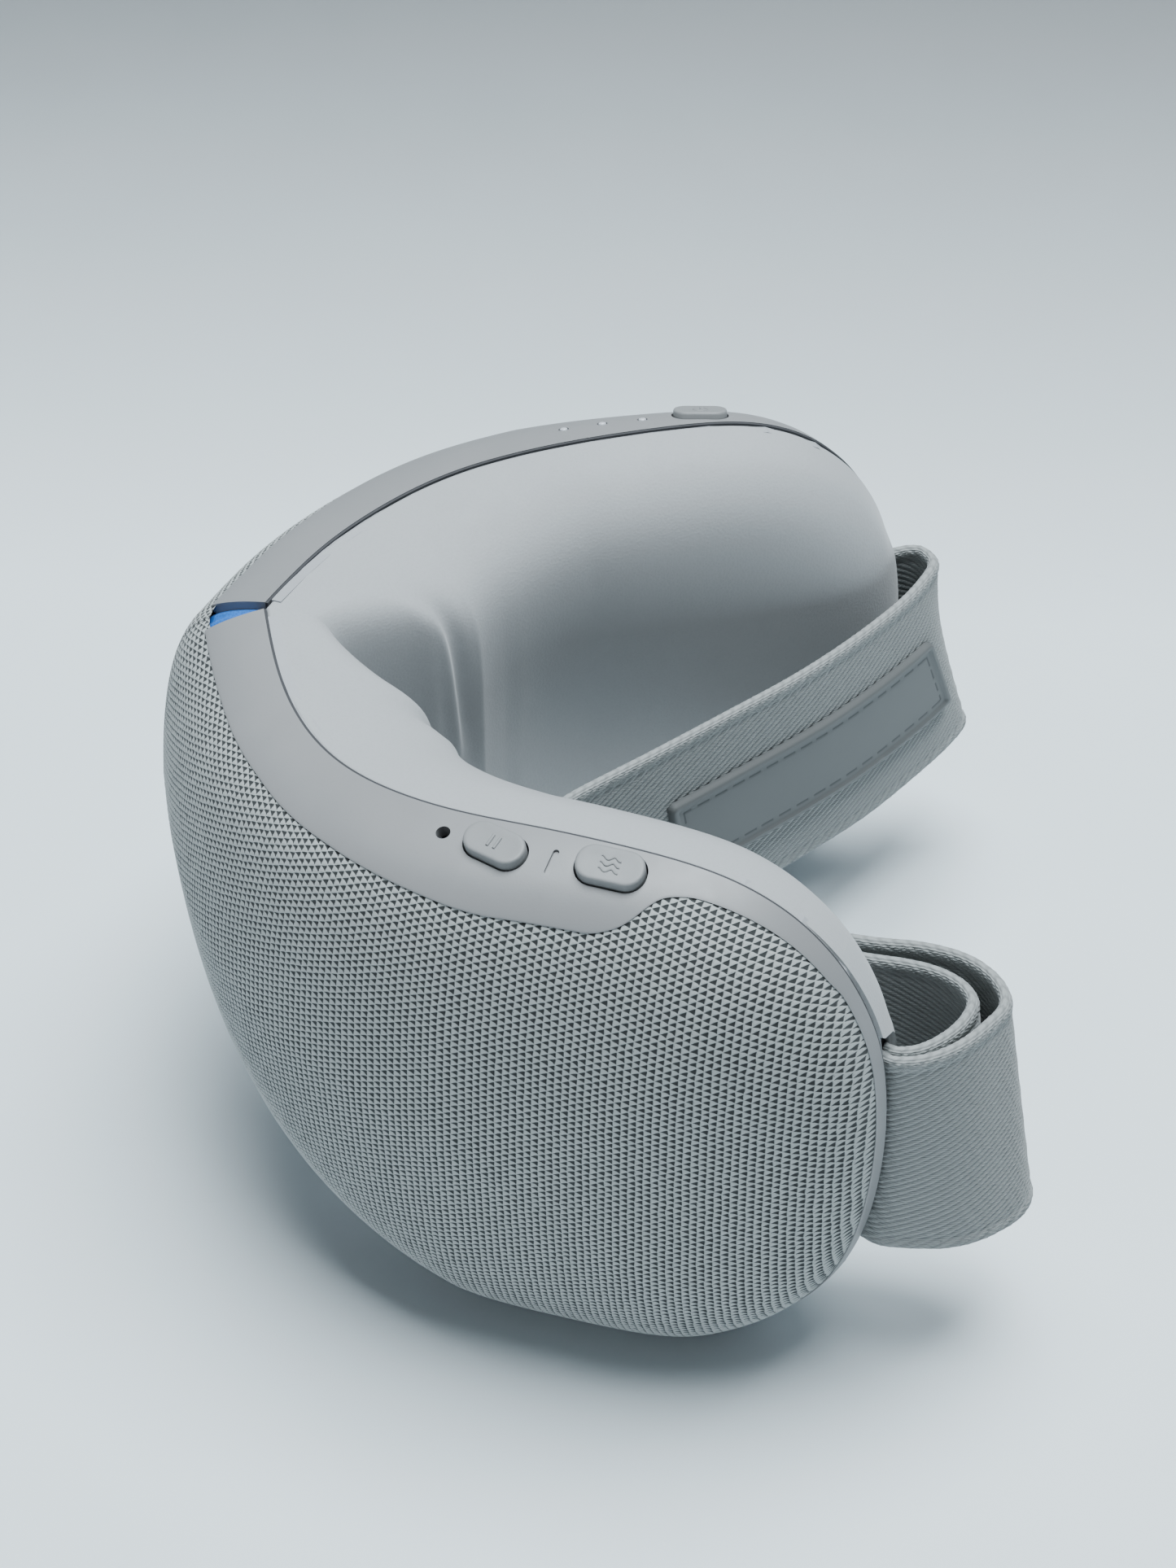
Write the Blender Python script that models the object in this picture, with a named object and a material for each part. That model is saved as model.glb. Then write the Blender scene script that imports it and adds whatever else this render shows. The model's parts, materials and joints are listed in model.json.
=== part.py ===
"""Foldable eye massager mask: two padded half shells on one upright hinge, with a rear strap.

Lengths are in millimetres inside this file and become metres where a mesh is made.
A half is laid out in three local numbers: s runs along its plan curve from the hinge,
z is the height above the table, and n is the distance in front of the padding seam.
"""
import math

import bmesh
import bpy
import numpy as np
from mathutils import Matrix, Vector

MM = 0.001

# Plan curve of the seam, from the hinge to the outer end of one half
HINGE_HEADING = 14.5
END_HEADING = 74.0
BEND_LENGTH = 68.0
PLAN_STEP = 0.5
PLAN_LENGTH = 130.0

# Side outline of one half: s and height, from the hinge's top round to its bottom
TOP_KEYS = [(0.8, 93.0), (14, 90.6), (31, 89.6), (51, 91.2), (73, 92.8), (93, 92.2), (105, 87.6), (113, 79.8)]
END_KEYS = [(113, 79.8), (118, 69.0), (119.9, 57.0), (120, 44.0), (118.2, 29.5), (114, 17.0), (108, 8.6)]
BOTTOM_KEYS = [(108, 8.6), (99, 2.0), (90, -0.6), (75, -1.0), (61, -0.4), (51, 3.4), (39, 9.6), (26, 17.2),
               (13, 25.0), (0.8, 31.5)]
TOP_STATIONS = 24
END_STATIONS = 12
INSIDE = (60.0, 46.0)

# Lens shaped front: a quick rise at the edge and a slow one to the crown, both along s
EDGE_KEYS = [(-5, 9.5), (60, 9.0), (90, 5.5), (125, 3.5)]
EDGE_RISE = 2.0
CROWN_KEYS = [(-5, 18.0), (30, 19.5), (60, 21.5), (88, 20.5), (125, 17.0)]
CROWN_RISE = 13.0
# Width of the smooth band above the knit cover, measured down from the top edge, left and right
BAND_LEFT = [(0, 3.4), (25, 3.6), (42, 4.6), (55, 5.8), (64, 6.6), (79, 6.6), (83, 5.4), (87, 2.4), (92, 1.8),
             (125, 1.8)]
BAND_RIGHT = [(0, 3.4), (25, 3.6), (42, 4.6), (55, 5.8), (64, 6.6), (92, 6.6), (96, 5.0), (100, 2.4), (104, 1.8),
              (125, 1.8)]
RIM_WIDTH = 1.6
BAND_BOTTOM = [(0, 3.0), (34, 5.0), (56, 5.0), (72, 1.6), (125, 1.6)]

FRAME_WALL = 2.0
KNIT_THICKNESS = 0.9
SHELL_DEPTH = 1.2
SHELL_WALL = 2.0
TOUCH_GAP = 0.3

# Padding
PAD_BASE = 5.3
PAD_KEYS = [(0, 15.0), (12, 20.0), (30, 23.0), (50, 20.5), (66, 17.0), (92, 16.0), (125, 14.0)]
PAD_RISE = 5.0
PAD_INSET = [(0, 0.5), (104, 0.5), (116, -1.6), (125, -2.0)]
EYE_CENTRE = (64.0, 46.0)
EYE_RADIUS = 17.0
EYE_DEPTH = 3.0
NOSE_SHEAR = 0.5
NOSE_SHEAR_END = 45.0

# Hinge
AXIS_Y = -3.0
BARREL_RADIUS = 2.5
PIN_RADIUS = 1.0
PIN_CLEARANCE = 0.06

# Strap
STRAP_LOW = 24.0
STRAP_HIGH = 64.0
STRAP_THICKNESS = 1.6
SLOT_S = 112.0
SLOT_N = -3.4
SLOT_LOW = 21.5
SLOT_HIGH = 66.5

LEFT = 1
RIGHT = -1


# ---------------------------------------------------------------- local frame

def plan_table():
    """Positions and headings of the plan curve at even steps."""
    x = y = 0.0
    rows = []
    for index in range(int(PLAN_LENGTH / PLAN_STEP) + 1):
        s = index * PLAN_STEP
        part = min(1.0, s / BEND_LENGTH)
        smooth = part * part * (3 - 2 * part)
        heading = math.radians(HINGE_HEADING + (END_HEADING - HINGE_HEADING) * smooth)
        rows.append((s, x, y, heading))
        x += PLAN_STEP * math.cos(heading)
        y += PLAN_STEP * math.sin(heading)
    return np.array(rows)


PLAN = plan_table()


def plan(s):
    """Seam position and heading at arc length s."""
    if s < 0:
        heading = PLAN[0, 3]
        return s * math.cos(heading), s * math.sin(heading), heading
    x = float(np.interp(s, PLAN[:, 0], PLAN[:, 1]))
    y = float(np.interp(s, PLAN[:, 0], PLAN[:, 2]))
    heading = float(np.interp(s, PLAN[:, 0], PLAN[:, 3]))
    return x, y, heading


def place(side, s, z, n):
    """Position, in metres, of local s, z, n on one half, kept above the flat that it stands on."""
    x, y, heading = plan(s)
    return Vector((side * (x + n * math.sin(heading)), y - n * math.cos(heading), max(z, 0.0))) * MM


def local_frame(side, s, z, n, tilt=0.0):
    """Matrix at local s, z, n: local X along s, local Z outwards, tipped up by tilt degrees."""
    heading = plan(s)[2]
    along = Vector((side * math.cos(heading), math.sin(heading), 0))
    outward = Vector((side * math.sin(heading), -math.cos(heading), 0))
    up = Vector((0, 0, 1))
    face = outward * math.cos(math.radians(tilt)) + up * math.sin(math.radians(tilt))
    across = face.cross(along)
    basis = Matrix((along, across, face)).transposed().to_4x4()
    return Matrix.Translation(place(side, s, z, n)) @ basis


def interpolate(keys, value):
    """Value between listed keys, straight from one to the next."""
    for (a, va), (b, vb) in zip(keys, keys[1:]):
        if value <= b:
            part = min(1.0, max(0.0, (value - a) / (b - a)))
            return va + (vb - va) * part
    return keys[-1][1]


def spline(keys, count):
    """Catmull-Rom curve through the keys, with count even segments."""
    points = [np.array(key, float) for key in keys]
    points = [2 * points[0] - points[1]] + points + [2 * points[-1] - points[-2]]
    dense = []
    for a, b, c, d in zip(points, points[1:], points[2:], points[3:]):
        for step in range(24):
            t = step / 24
            dense.append(0.5 * (2 * b + (c - a) * t + (2 * a - 5 * b + 4 * c - d) * t * t
                                + (3 * b - a - 3 * c + d) * t ** 3))
    dense.append(points[-2])
    dense = np.array(dense)
    lengths = np.concatenate([[0], np.cumsum(np.linalg.norm(np.diff(dense, axis=0), axis=1))])
    wanted = np.linspace(0, lengths[-1], count + 1)
    return np.stack([np.interp(wanted, lengths, dense[:, axis]) for axis in range(dense.shape[1])], axis=1)


def outline():
    """Stations round one half, from the hinge's top over the outer end to the hinge's bottom."""
    top = spline(TOP_KEYS, TOP_STATIONS)
    end = spline(END_KEYS, END_STATIONS)
    bottom = spline(BOTTOM_KEYS, TOP_STATIONS)
    return np.concatenate([top, end[1:], bottom[1:]])


CHAIN = outline()
DENSE = np.concatenate([spline(TOP_KEYS, 160), spline(END_KEYS, 80), spline(BOTTOM_KEYS, 160)])
DENSE = np.concatenate([DENSE, DENSE * np.array([-1.0, 1.0])])


def inward_directions():
    """Unit vectors pointing into the outline at each station."""
    ahead = np.gradient(CHAIN, axis=0)
    normals = np.stack([ahead[:, 1], -ahead[:, 0]], axis=1)
    normals /= np.linalg.norm(normals, axis=1)[:, None]
    normals[0] = (0, -1)
    normals[-1] = (0, 1)
    return normals


INWARD = inward_directions()


def edge_distance(s, z):
    """Distance from a point of the half to its outline, the hinge edge left out."""
    return float(np.min(np.hypot(DENSE[:, 0] - s, DENSE[:, 1] - z)))


def crown(s, z):
    """Height of the front surface over the seam plane."""
    distance = edge_distance(s, z)
    edge = interpolate(EDGE_KEYS, s)
    quick = edge * (1 - math.exp(-distance / EDGE_RISE))
    return quick + (interpolate(CROWN_KEYS, s) - edge) * (1 - math.exp(-distance / CROWN_RISE))


def crown_point(s, z, depth):
    """Point at a depth below the front surface, measured square to it: s, z, n."""
    step = 0.4
    slope_s = (crown(s + step, z) - crown(s - step, z)) / (2 * step)
    slope_z = (crown(s, z + step) - crown(s, z - step)) / (2 * step)
    norm = math.sqrt(1 + slope_s ** 2 + slope_z ** 2)
    return s + slope_s * depth / norm, z + slope_z * depth / norm, crown(s, z) - depth / norm


def band_width(side, index):
    """Width of the visible band at a station of the outline."""
    if index > TOP_STATIONS + END_STATIONS:
        return interpolate(BAND_BOTTOM, CHAIN[index, 0])
    if index > TOP_STATIONS:
        return RIM_WIDTH
    return interpolate(BAND_LEFT if side == LEFT else BAND_RIGHT, CHAIN[index, 0])


# ---------------------------------------------------------------- mesh tools

MATERIALS = {
    "knit": ((0.50, 0.53, 0.53), 0.9, 0.0),
    "band": ((0.56, 0.56, 0.58), 0.45, 0.0),
    "shell": ((0.42, 0.43, 0.45), 0.55, 0.0),
    "cover": ((0.62, 0.64, 0.66), 0.8, 0.0),
    "foam": ((0.70, 0.70, 0.66), 0.95, 0.0),
    "button": ((0.60, 0.62, 0.64), 0.5, 0.0),
    "blue": ((0.03, 0.22, 0.75), 0.5, 0.0),
    "webbing": ((0.48, 0.49, 0.50), 0.85, 0.0),
    "silicone": ((0.52, 0.52, 0.54), 0.6, 0.0),
    "dark": ((0.03, 0.03, 0.035), 0.5, 0.0),
    "steel": ((0.55, 0.56, 0.58), 0.3, 1.0),
    "brass": ((0.72, 0.52, 0.22), 0.35, 1.0),
    "board": ((0.02, 0.16, 0.07), 0.5, 0.0),
    "cell": ((0.45, 0.46, 0.50), 0.4, 0.3),
    "lens": ((0.85, 0.87, 0.90), 0.3, 0.0),
    "clear": ((0.75, 0.77, 0.80), 0.4, 0.0),
    "film": ((0.55, 0.30, 0.06), 0.4, 0.0),
}


def clear_scene():
    """Remove every object that the file starts with."""
    for item in list(bpy.data.objects):
        bpy.data.objects.remove(item, do_unlink=True)


def finish_mesh(name, mesh_data, look, smooth=False):
    """Turn a bmesh into a named object with its own material."""
    bmesh.ops.recalc_face_normals(mesh_data, faces=mesh_data.faces)
    mesh = bpy.data.meshes.new(name)
    mesh_data.to_mesh(mesh)
    mesh_data.free()
    item = bpy.data.objects.new(name, mesh)
    bpy.context.scene.collection.objects.link(item)
    colour, roughness, metallic = MATERIALS[look]
    material = bpy.data.materials.new(name)
    material.use_nodes = True
    shader = material.node_tree.nodes["Principled BSDF"]
    shader.inputs["Base Color"].default_value = (*colour, 1)
    shader.inputs["Roughness"].default_value = roughness
    shader.inputs["Metallic"].default_value = metallic
    mesh.materials.append(material)
    for face in mesh.polygons:
        face.use_smooth = smooth
    return item


def loft(name, rows, look, wrap_rows=False, smooth=False):
    """Closed body through equal closed loops of points; the first and last get caps unless wrapped."""
    data = bmesh.new()
    loops = [[data.verts.new(point) for point in row] for row in rows]
    count = len(loops[0])
    pairs = list(zip(loops, loops[1:]))
    if wrap_rows:
        pairs.append((loops[-1], loops[0]))
    for first, second in pairs:
        for index in range(count):
            after = (index + 1) % count
            data.faces.new((first[index], first[after], second[after], second[index]))
    if not wrap_rows:
        data.faces.new(loops[0])
        data.faces.new(loops[-1])
        bmesh.ops.triangulate(data, faces=[face for face in data.faces if len(face.verts) > 4])
    return finish_mesh(name, data, look, smooth)


def slab(name, upper, lower, look, smooth=False):
    """Closed body between two equal grids of points."""
    data = bmesh.new()
    layers = [[[data.verts.new(point) for point in row] for row in grid] for grid in (upper, lower)]
    rows, columns = len(upper), len(upper[0])
    for layer in layers:
        for i in range(rows - 1):
            for j in range(columns - 1):
                data.faces.new((layer[i][j], layer[i + 1][j], layer[i + 1][j + 1], layer[i][j + 1]))
    rim = [(i, 0) for i in range(rows)] + [(rows - 1, j) for j in range(1, columns)]
    rim += [(i, columns - 1) for i in range(rows - 2, -1, -1)] + [(0, j) for j in range(columns - 2, 0, -1)]
    for (a, b), (c, d) in zip(rim, rim[1:] + rim[:1]):
        data.faces.new((layers[0][a][b], layers[0][c][d], layers[1][c][d], layers[1][a][b]))
    return finish_mesh(name, data, look, smooth)


def inset_chain(inset):
    """Outline stations moved inwards by a number or by one number per station."""
    insets = np.broadcast_to(np.asarray(inset, float), (len(CHAIN),))
    return CHAIN + INWARD * insets[:, None]


def patch(boundary, hinge_s):
    """Grid of s, z points filling a boundary chain: rows along s, columns up from the bottom."""
    top = boundary[:TOP_STATIONS + 1].copy()
    end = boundary[TOP_STATIONS:TOP_STATIONS + END_STATIONS + 1][::-1]
    bottom = boundary[TOP_STATIONS + END_STATIONS:][::-1].copy()
    for edge in (top, bottom):
        edge[:, 0] = hinge_s + (edge[:, 0] - edge[0, 0]) * (edge[-1, 0] - hinge_s) / (edge[-1, 0] - edge[0, 0])
    share = np.linspace(0, math.pi, END_STATIONS + 1)
    hinge = [bottom[0] + (top[0] - bottom[0]) * (0.5 - 0.5 * math.cos(angle)) for angle in share]
    lengths = np.concatenate([[0], np.cumsum(np.linalg.norm(np.diff(end, axis=0), axis=1))])
    end_share = lengths / lengths[-1]
    rows = []
    for i in range(TOP_STATIONS + 1):
        u = i / TOP_STATIONS
        row = []
        for j in range(END_STATIONS + 1):
            v = (1 - u) * (0.5 - 0.5 * math.cos(share[j])) + u * end_share[j]
            ruled_v = (1 - v) * bottom[i] + v * top[i]
            ruled_u = (1 - u) * hinge[j] + u * end[j]
            corners = ((1 - u) * (1 - v) * bottom[0] + u * (1 - v) * bottom[-1]
                       + (1 - u) * v * top[0] + u * v * top[-1])
            row.append(ruled_v + ruled_u - corners)
        rows.append(row)
    return rows


def flat_layer(name, side, inset, hinge_s, front, back, look, coarse=1):
    """Plate or ring that follows the plan curve between two depths."""
    grid = patch(inset_chain(inset), hinge_s)
    grid = [row[::coarse] for row in grid[::coarse]]
    upper = [[place(side, s, z, front) for s, z in row] for row in grid]
    lower = [[place(side, s, z, back) for s, z in row] for row in grid]
    return slab(name, upper, lower, look)


def crown_layer(name, side, depth_near, depth_far, look):
    """Domed layer inside the band, between two depths below the front surface."""
    widths = [band_width(side, index) + 0.25 for index in range(len(CHAIN))]
    grid = patch(inset_chain(widths), CHAIN[0, 0])
    surfaces = []
    for depth in (depth_near, depth_far):
        surface = []
        for row in grid:
            moved = [crown_point(s, z, depth) for s, z in row]
            surface.append([place(side, max(s, CHAIN[0, 0]), z, n) for s, z, n in moved])
        surfaces.append(surface)
    return slab(name, surfaces[0], surfaces[1], look, smooth=True)


def rounded_outline(length, width, radius, steps=4):
    """Corner points of a rounded rectangle centred on the origin."""
    points = []
    corners = ((1, 1, 0), (-1, 1, 90), (-1, -1, 180), (1, -1, 270))
    for sign_x, sign_y, start in corners:
        for step in range(steps + 1):
            angle = math.radians(start + 90 * step / steps)
            points.append((sign_x * (length / 2 - radius) + radius * math.cos(angle),
                           sign_y * (width / 2 - radius) + radius * math.sin(angle)))
    return points


def prism(name, matrix, points, low, high, look, smooth=False, top_inset=0.0):
    """Prism of a flat outline along local Z, with an optional chamfer at its top."""
    levels = [(low, 1.0), (high, 1.0)]
    if top_inset:
        reach = max(abs(x) for x, _ in points)
        levels = [(low, 1.0), (high - top_inset, 1.0), (high, 1 - top_inset / reach)]
    rows = [[matrix @ (Vector((x * scale, y * scale, level)) * MM) for x, y in points] for level, scale in levels]
    return loft(name, rows, look, smooth=smooth)


def box(name, side, s, z, n, size, look, radius=0.8, tilt=0.0):
    """Rounded block whose local length runs along s, height along z and thickness along n."""
    length, height, thickness = size
    matrix = local_frame(side, s, z, n, tilt)
    outline_points = rounded_outline(length, height, radius, 2)
    return prism(name, matrix, outline_points, -thickness / 2, thickness / 2, look)


def circle(radius, steps=16, phase=0.0):
    """Points of a circle."""
    turn = 2 * math.pi / steps
    return [(radius * math.cos(phase + turn * k), radius * math.sin(phase + turn * k)) for k in range(steps)]


def tube(name, matrix, outer, inner, low, high, look, steps=16):
    """Round tube along local Z."""
    rows = []
    for radius, level in ((outer, low), (outer, high), (inner, high), (inner, low)):
        rows.append([matrix @ (Vector((x, y, level)) * MM) for x, y in circle(radius, steps)])
    return loft(name, rows, look, wrap_rows=True, smooth=True)


def rod(name, matrix, radius, low, high, look, steps=16):
    """Round rod along local Z."""
    return prism(name, matrix, circle(radius, steps), low, high, look, smooth=True)


def cut(target, cutter):
    """Take a cutter body out of a target with an exact Boolean, and apply it."""
    modifier = target.modifiers.new("cut", 'BOOLEAN')
    modifier.operation = 'DIFFERENCE'
    modifier.solver = 'EXACT'
    modifier.object = cutter
    graph = bpy.context.evaluated_depsgraph_get()
    mesh = bpy.data.meshes.new_from_object(target.evaluated_get(graph))
    target.modifiers.clear()
    target.data = mesh
    bpy.data.objects.remove(cutter, do_unlink=True)
    data = bmesh.new()
    data.from_mesh(mesh)
    bmesh.ops.remove_doubles(data, verts=data.verts, dist=0.00001)
    data.to_mesh(mesh)
    data.free()


# ---------------------------------------------------------------- housing

def frame_ring(name, side):
    """Visible band and rim: a C shaped wall that follows the outline."""
    rows = []
    for index, (s, z) in enumerate(CHAIN):
        width = band_width(side, index)
        outer = []
        inner = []
        for share in (0.0, 0.3, 0.62, 1.0):
            ds, dz = INWARD[index] * width * share
            outer.append((s + ds, z + dz, crown(s + ds, z + dz)))
            inner.append(crown_point(s + ds, z + dz, FRAME_WALL))
        ds, dz = INWARD[index] * FRAME_WALL * 1.1
        inner[0] = (s + ds, z + dz, 0.0)
        loop = outer + inner[::-1]
        limit = CHAIN[0, 0]
        rows.append([place(side, max(s_, limit), z_, n_) for s_, z_, n_ in loop])
    return loft(name, rows, "band", smooth=False)


def housing(side, tag):
    """Band, knit cover, shell and back plate of one half."""
    frame = frame_ring("frame_" + tag, side)
    crown_layer("knit_cover_" + tag, side, 0.0, KNIT_THICKNESS, "knit")
    crown_layer("front_shell_" + tag, side, SHELL_DEPTH, SHELL_DEPTH + SHELL_WALL, "shell")
    flat_layer("back_plate_" + tag, side, 0.5, 2.2, -0.3, -1.9, "shell", coarse=2)
    return frame


# ---------------------------------------------------------------- padding

def pad_depth(s, z):
    """Depth of the padding's face behind the seam plane."""
    rise = 1 - math.exp(-edge_distance(s, z) / PAD_RISE)
    eye = EYE_DEPTH * math.exp(-((s - EYE_CENTRE[0]) ** 2 + (z - EYE_CENTRE[1]) ** 2) / EYE_RADIUS ** 2)
    return PAD_BASE + (interpolate(PAD_KEYS, s) - PAD_BASE) * rise - eye * rise


def nose_shift(s, depth):
    """Move s away from the hinge so that the pad's nose side stays clear when the mask folds."""
    return s + NOSE_SHEAR * depth * max(0.0, 1 - s / NOSE_SHEAR_END)


def cushion(side, tag):
    """Soft face pad of one half."""
    insets = [interpolate(PAD_INSET, s) for s, _ in CHAIN]
    grid = patch(inset_chain(insets), 1.2)
    upper = [[place(side, nose_shift(s, PAD_BASE), z, -PAD_BASE) for s, z in row] for row in grid]
    lower = []
    for row in grid:
        depths = [pad_depth(s, z) + 0.6 for s, z in row]
        lower.append([place(side, nose_shift(s, depth), z, -depth) for (s, z), depth in zip(row, depths)])
    return slab("cushion_" + tag, upper, lower, "cover", smooth=True)


def pad_rim(side, tag):
    """Foam rim between the back plate and the cushion, open at the strap slot."""
    closed = list(range(len(CHAIN)))
    bottom_start = next(k for k in closed if k > TOP_STATIONS and CHAIN[k, 1] < SLOT_LOW - 1)
    top_stop = max(k for k in closed if k < bottom_start and CHAIN[k, 1] > SLOT_HIGH + 1)
    hinge_top = CHAIN[0]
    hinge_bottom = CHAIN[-1]
    hinge_line = [hinge_bottom + (hinge_top - hinge_bottom) * share for share in (0.08, 0.35, 0.65, 0.92)]
    path = [(CHAIN[k], INWARD[k]) for k in range(bottom_start, len(CHAIN))]
    path[-1] = (path[-1][0], np.array([0.7, 0.7]))
    path += [(point, np.array([1.0, 0.0])) for point in hinge_line]
    path += [(CHAIN[0], np.array([0.7, -0.7]))]
    path += [(CHAIN[k], INWARD[k]) for k in range(1, top_stop + 1)]
    rows = []
    for point, inward in path:
        outer = point + inward * 0.5
        inner = point + inward * 6.5
        corners = ((outer, -2.4), (outer, -4.8), (inner, -4.8), (inner, -2.4))
        rows.append([place(side, nose_shift(s, -n) + 1.2 * max(0.0, 1 - s / 90), z, n) for (s, z), n in corners])
    return loft("pad_rim_" + tag, rows, "foam")


def padding(side, tag):
    """Everything between the back plate and the face."""
    cushion(side, tag)
    pad_rim(side, tag)
    flat_layer("airbag_" + tag, side, 12.0, 14.0, -3.1, -4.4, "clear", coarse=2)
    flat_layer("heating_film_" + tag, side, 12.0, 14.0, -2.3, -2.7, "film", coarse=2)


# ---------------------------------------------------------------- controls

# Each control: s and height on the band, length and width
PAUSE = (63.5, 90.9, 9.6, 6.0)
WAVE = (80.0, 91.5, 9.8, 6.2)
POWER = (88.0, 91.4, 8.6, 5.0)
BUTTON_PROUD = 1.4
BUTTON_DEPTH = 2.3
BUTTON_GAP = 0.35
SWITCH_GAP = 0.75
LIGHTS = ((66.0, 91.2), (72.2, 91.5), (78.6, 91.7))
WINDOW = (55.5, 90.3)
GROOVE = (71.6, 91.2)
CHARGING = (45.0, 7.9)


def surface_frame(side, s, z, depth=0.0):
    """Matrix on the front surface: local X along the band, local Z square to the surface."""
    step = 0.5
    here = place(side, *crown_point(s, z, depth))
    along = place(side, s + step, z, crown(s + step, z)) - place(side, s - step, z, crown(s - step, z))
    rising = place(side, s, z + step, crown(s, z + step)) - place(side, s, z - step, crown(s, z - step))
    along.normalize()
    face = along.cross(rising) * side
    face.normalize()
    across = face.cross(along)
    return Matrix.Translation(here) @ Matrix((along, across, face)).transposed().to_4x4()


def hole(matrix, points, frame):
    """Cut a straight hole of the given outline through the band."""
    cutter = prism("cutter", matrix, points, -6.0, 4.0, "dark")
    cut(frame, cutter)


def button(name, side, frame, control, radius):
    """Push button in its hole in the band, with the switch and its small board below."""
    s, z, length, width = control
    matrix = surface_frame(side, s, z)
    hole(matrix, rounded_outline(length + 2 * BUTTON_GAP, width + 2 * BUTTON_GAP, radius + BUTTON_GAP), frame)
    face = rounded_outline(length, width, radius)
    prism(name + "_button", matrix, face, -BUTTON_DEPTH, BUTTON_PROUD, "button", top_inset=0.4)
    switch_top = -BUTTON_DEPTH - SWITCH_GAP
    rod(name + "_switch", matrix, 1.6, switch_top - 0.8, switch_top, "steel", steps=12)
    board = rounded_outline(length - 2.0, width - 1.0, 0.8, 2)
    prism(name + "_board", matrix, board, switch_top - 1.9, switch_top - 1.1, "board")


def controls_left(frame):
    """Pause and wave buttons, the sensor window and the groove on the left band."""
    button("pause", LEFT, frame, PAUSE, 2.6)
    button("wave", LEFT, frame, WAVE, 2.6)
    matrix = surface_frame(LEFT, *WINDOW)
    hole(matrix, circle(1.3, 12), frame)
    rod("sensor_window", matrix, 1.0, -1.9, -0.35, "dark", steps=12)
    groove = rounded_outline(0.9, 4.3, 0.44, 3)
    cutter = prism("cutter", surface_frame(LEFT, *GROOVE), groove, -0.4, 3.0, "dark")
    cut(frame, cutter)
    charging_port(frame)


def charging_port(frame):
    """Shaped hole in the band's lower edge with a metal socket that is open at its outer end."""
    port = surface_frame(LEFT, *CHARGING)
    hole(port, rounded_outline(9.8, 4.0, 1.9, 3), frame)
    outer = rounded_outline(8.9, 3.2, 1.5, 3)
    inner = rounded_outline(8.2, 2.5, 1.2, 3)
    rows = []
    for points, level in ((outer, -7.0), (outer, -0.4), (inner, -0.4), (inner, -6.2)):
        rows += upright_rows(port, points, (level,))
    loft("charging_socket", rows, "steel")


def controls_right(frame):
    """Power button and three light guides on the right band."""
    button("power", RIGHT, frame, POWER, 2.2)
    for number, (s, z) in enumerate(LIGHTS, 1):
        matrix = surface_frame(RIGHT, s, z)
        hole(matrix, circle(0.95, 10), frame)
        rod("light_guide_%d" % number, matrix, 0.62, -1.9, 0.1, "lens", steps=10)


# ---------------------------------------------------------------- hinge

BARRELS = ((42.0, 51.8, LEFT), (52.1, 71.9, RIGHT), (72.2, 82.0, LEFT))
BARREL_STEPS = 13
LEAF_S = 3.0
LEAF_THICKNESS = 1.0
LEAF_FRONT = 3.4
LEAF_BACK = 1.9
LEAF_WEB = 0.9
LEAF_BITE = 0.3
PIN_LOW = 40.5
PIN_HIGH = 83.5
# Half width and distance in front of the seam at the corners of the blue gusset, narrow end first
CAP_WEDGE = [(0.2, 0.3), (2.5, 13.4)]
WEB_WEDGE = [(1.0, 6.2), (2.5, 13.4)]
CAP_SPAN = (85.6, 88.4)
WEB_SPAN = (36.0, 85.2)
WALL_S = (4.3, 6.1)
WALL_N = (0.6, 8.5)
WALL_SPAN = (40.0, 82.0)


def upright(points, side, low, high):
    """Loops of a vertical prism drawn round the fold axis: x away from the axis, y towards the face."""
    return [[Vector((side * x, AXIS_Y + y, level)) * MM for x, y in points] for level in (low, high)]


def hinge_leaf(name, side):
    """Leaf plate with its barrels round the fold axis."""
    spans = [(low, high) for low, high, owner in BARRELS if owner == side]
    front, back = -LEAF_FRONT, LEAF_BACK
    plate = [(LEAF_S, back), (LEAF_S + LEAF_THICKNESS, back), (LEAF_S + LEAF_THICKNESS, front), (LEAF_S, front)]
    start = math.asin(LEAF_WEB / BARREL_RADIUS)
    angles = np.linspace(start, 2 * math.pi - start, BARREL_STEPS)
    barrel = [(BARREL_RADIUS * math.cos(a), BARREL_RADIUS * math.sin(a)) for a in angles]
    barrel += [(LEAF_S + LEAF_BITE, -LEAF_WEB), (LEAF_S + LEAF_BITE, LEAF_WEB)]
    body = loft(name, upright(plate, side, spans[0][0], spans[-1][1]), "steel")
    for low, high in spans:
        join_solid(body, loft("piece", upright(barrel, side, low, high), "steel"))
        bore = circle(PIN_RADIUS + PIN_CLEARANCE, 16)
        cut(body, loft("cutter", upright(bore, side, low - 1, high + 1), "dark"))
    return body


def join_solid(target, other):
    """Add an overlapping body to a target with an exact Boolean union."""
    modifier = target.modifiers.new("join", 'BOOLEAN')
    modifier.operation = 'UNION'
    modifier.solver = 'EXACT'
    modifier.object = other
    graph = bpy.context.evaluated_depsgraph_get()
    target.data = bpy.data.meshes.new_from_object(target.evaluated_get(graph))
    target.modifiers.clear()
    bpy.data.objects.remove(other, do_unlink=True)


def gusset(name, wedge, span):
    """Four sided upright wedge on the symmetry plane, its wide end in front."""
    (narrow, back), (wide, front) = wedge
    corners = [(-narrow, -back), (narrow, -back), (wide, -front), (-wide, -front)]
    rows = [[Vector((x, y, level)) * MM for x, y in corners] for level in span]
    loft(name, rows, "blue")


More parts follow.
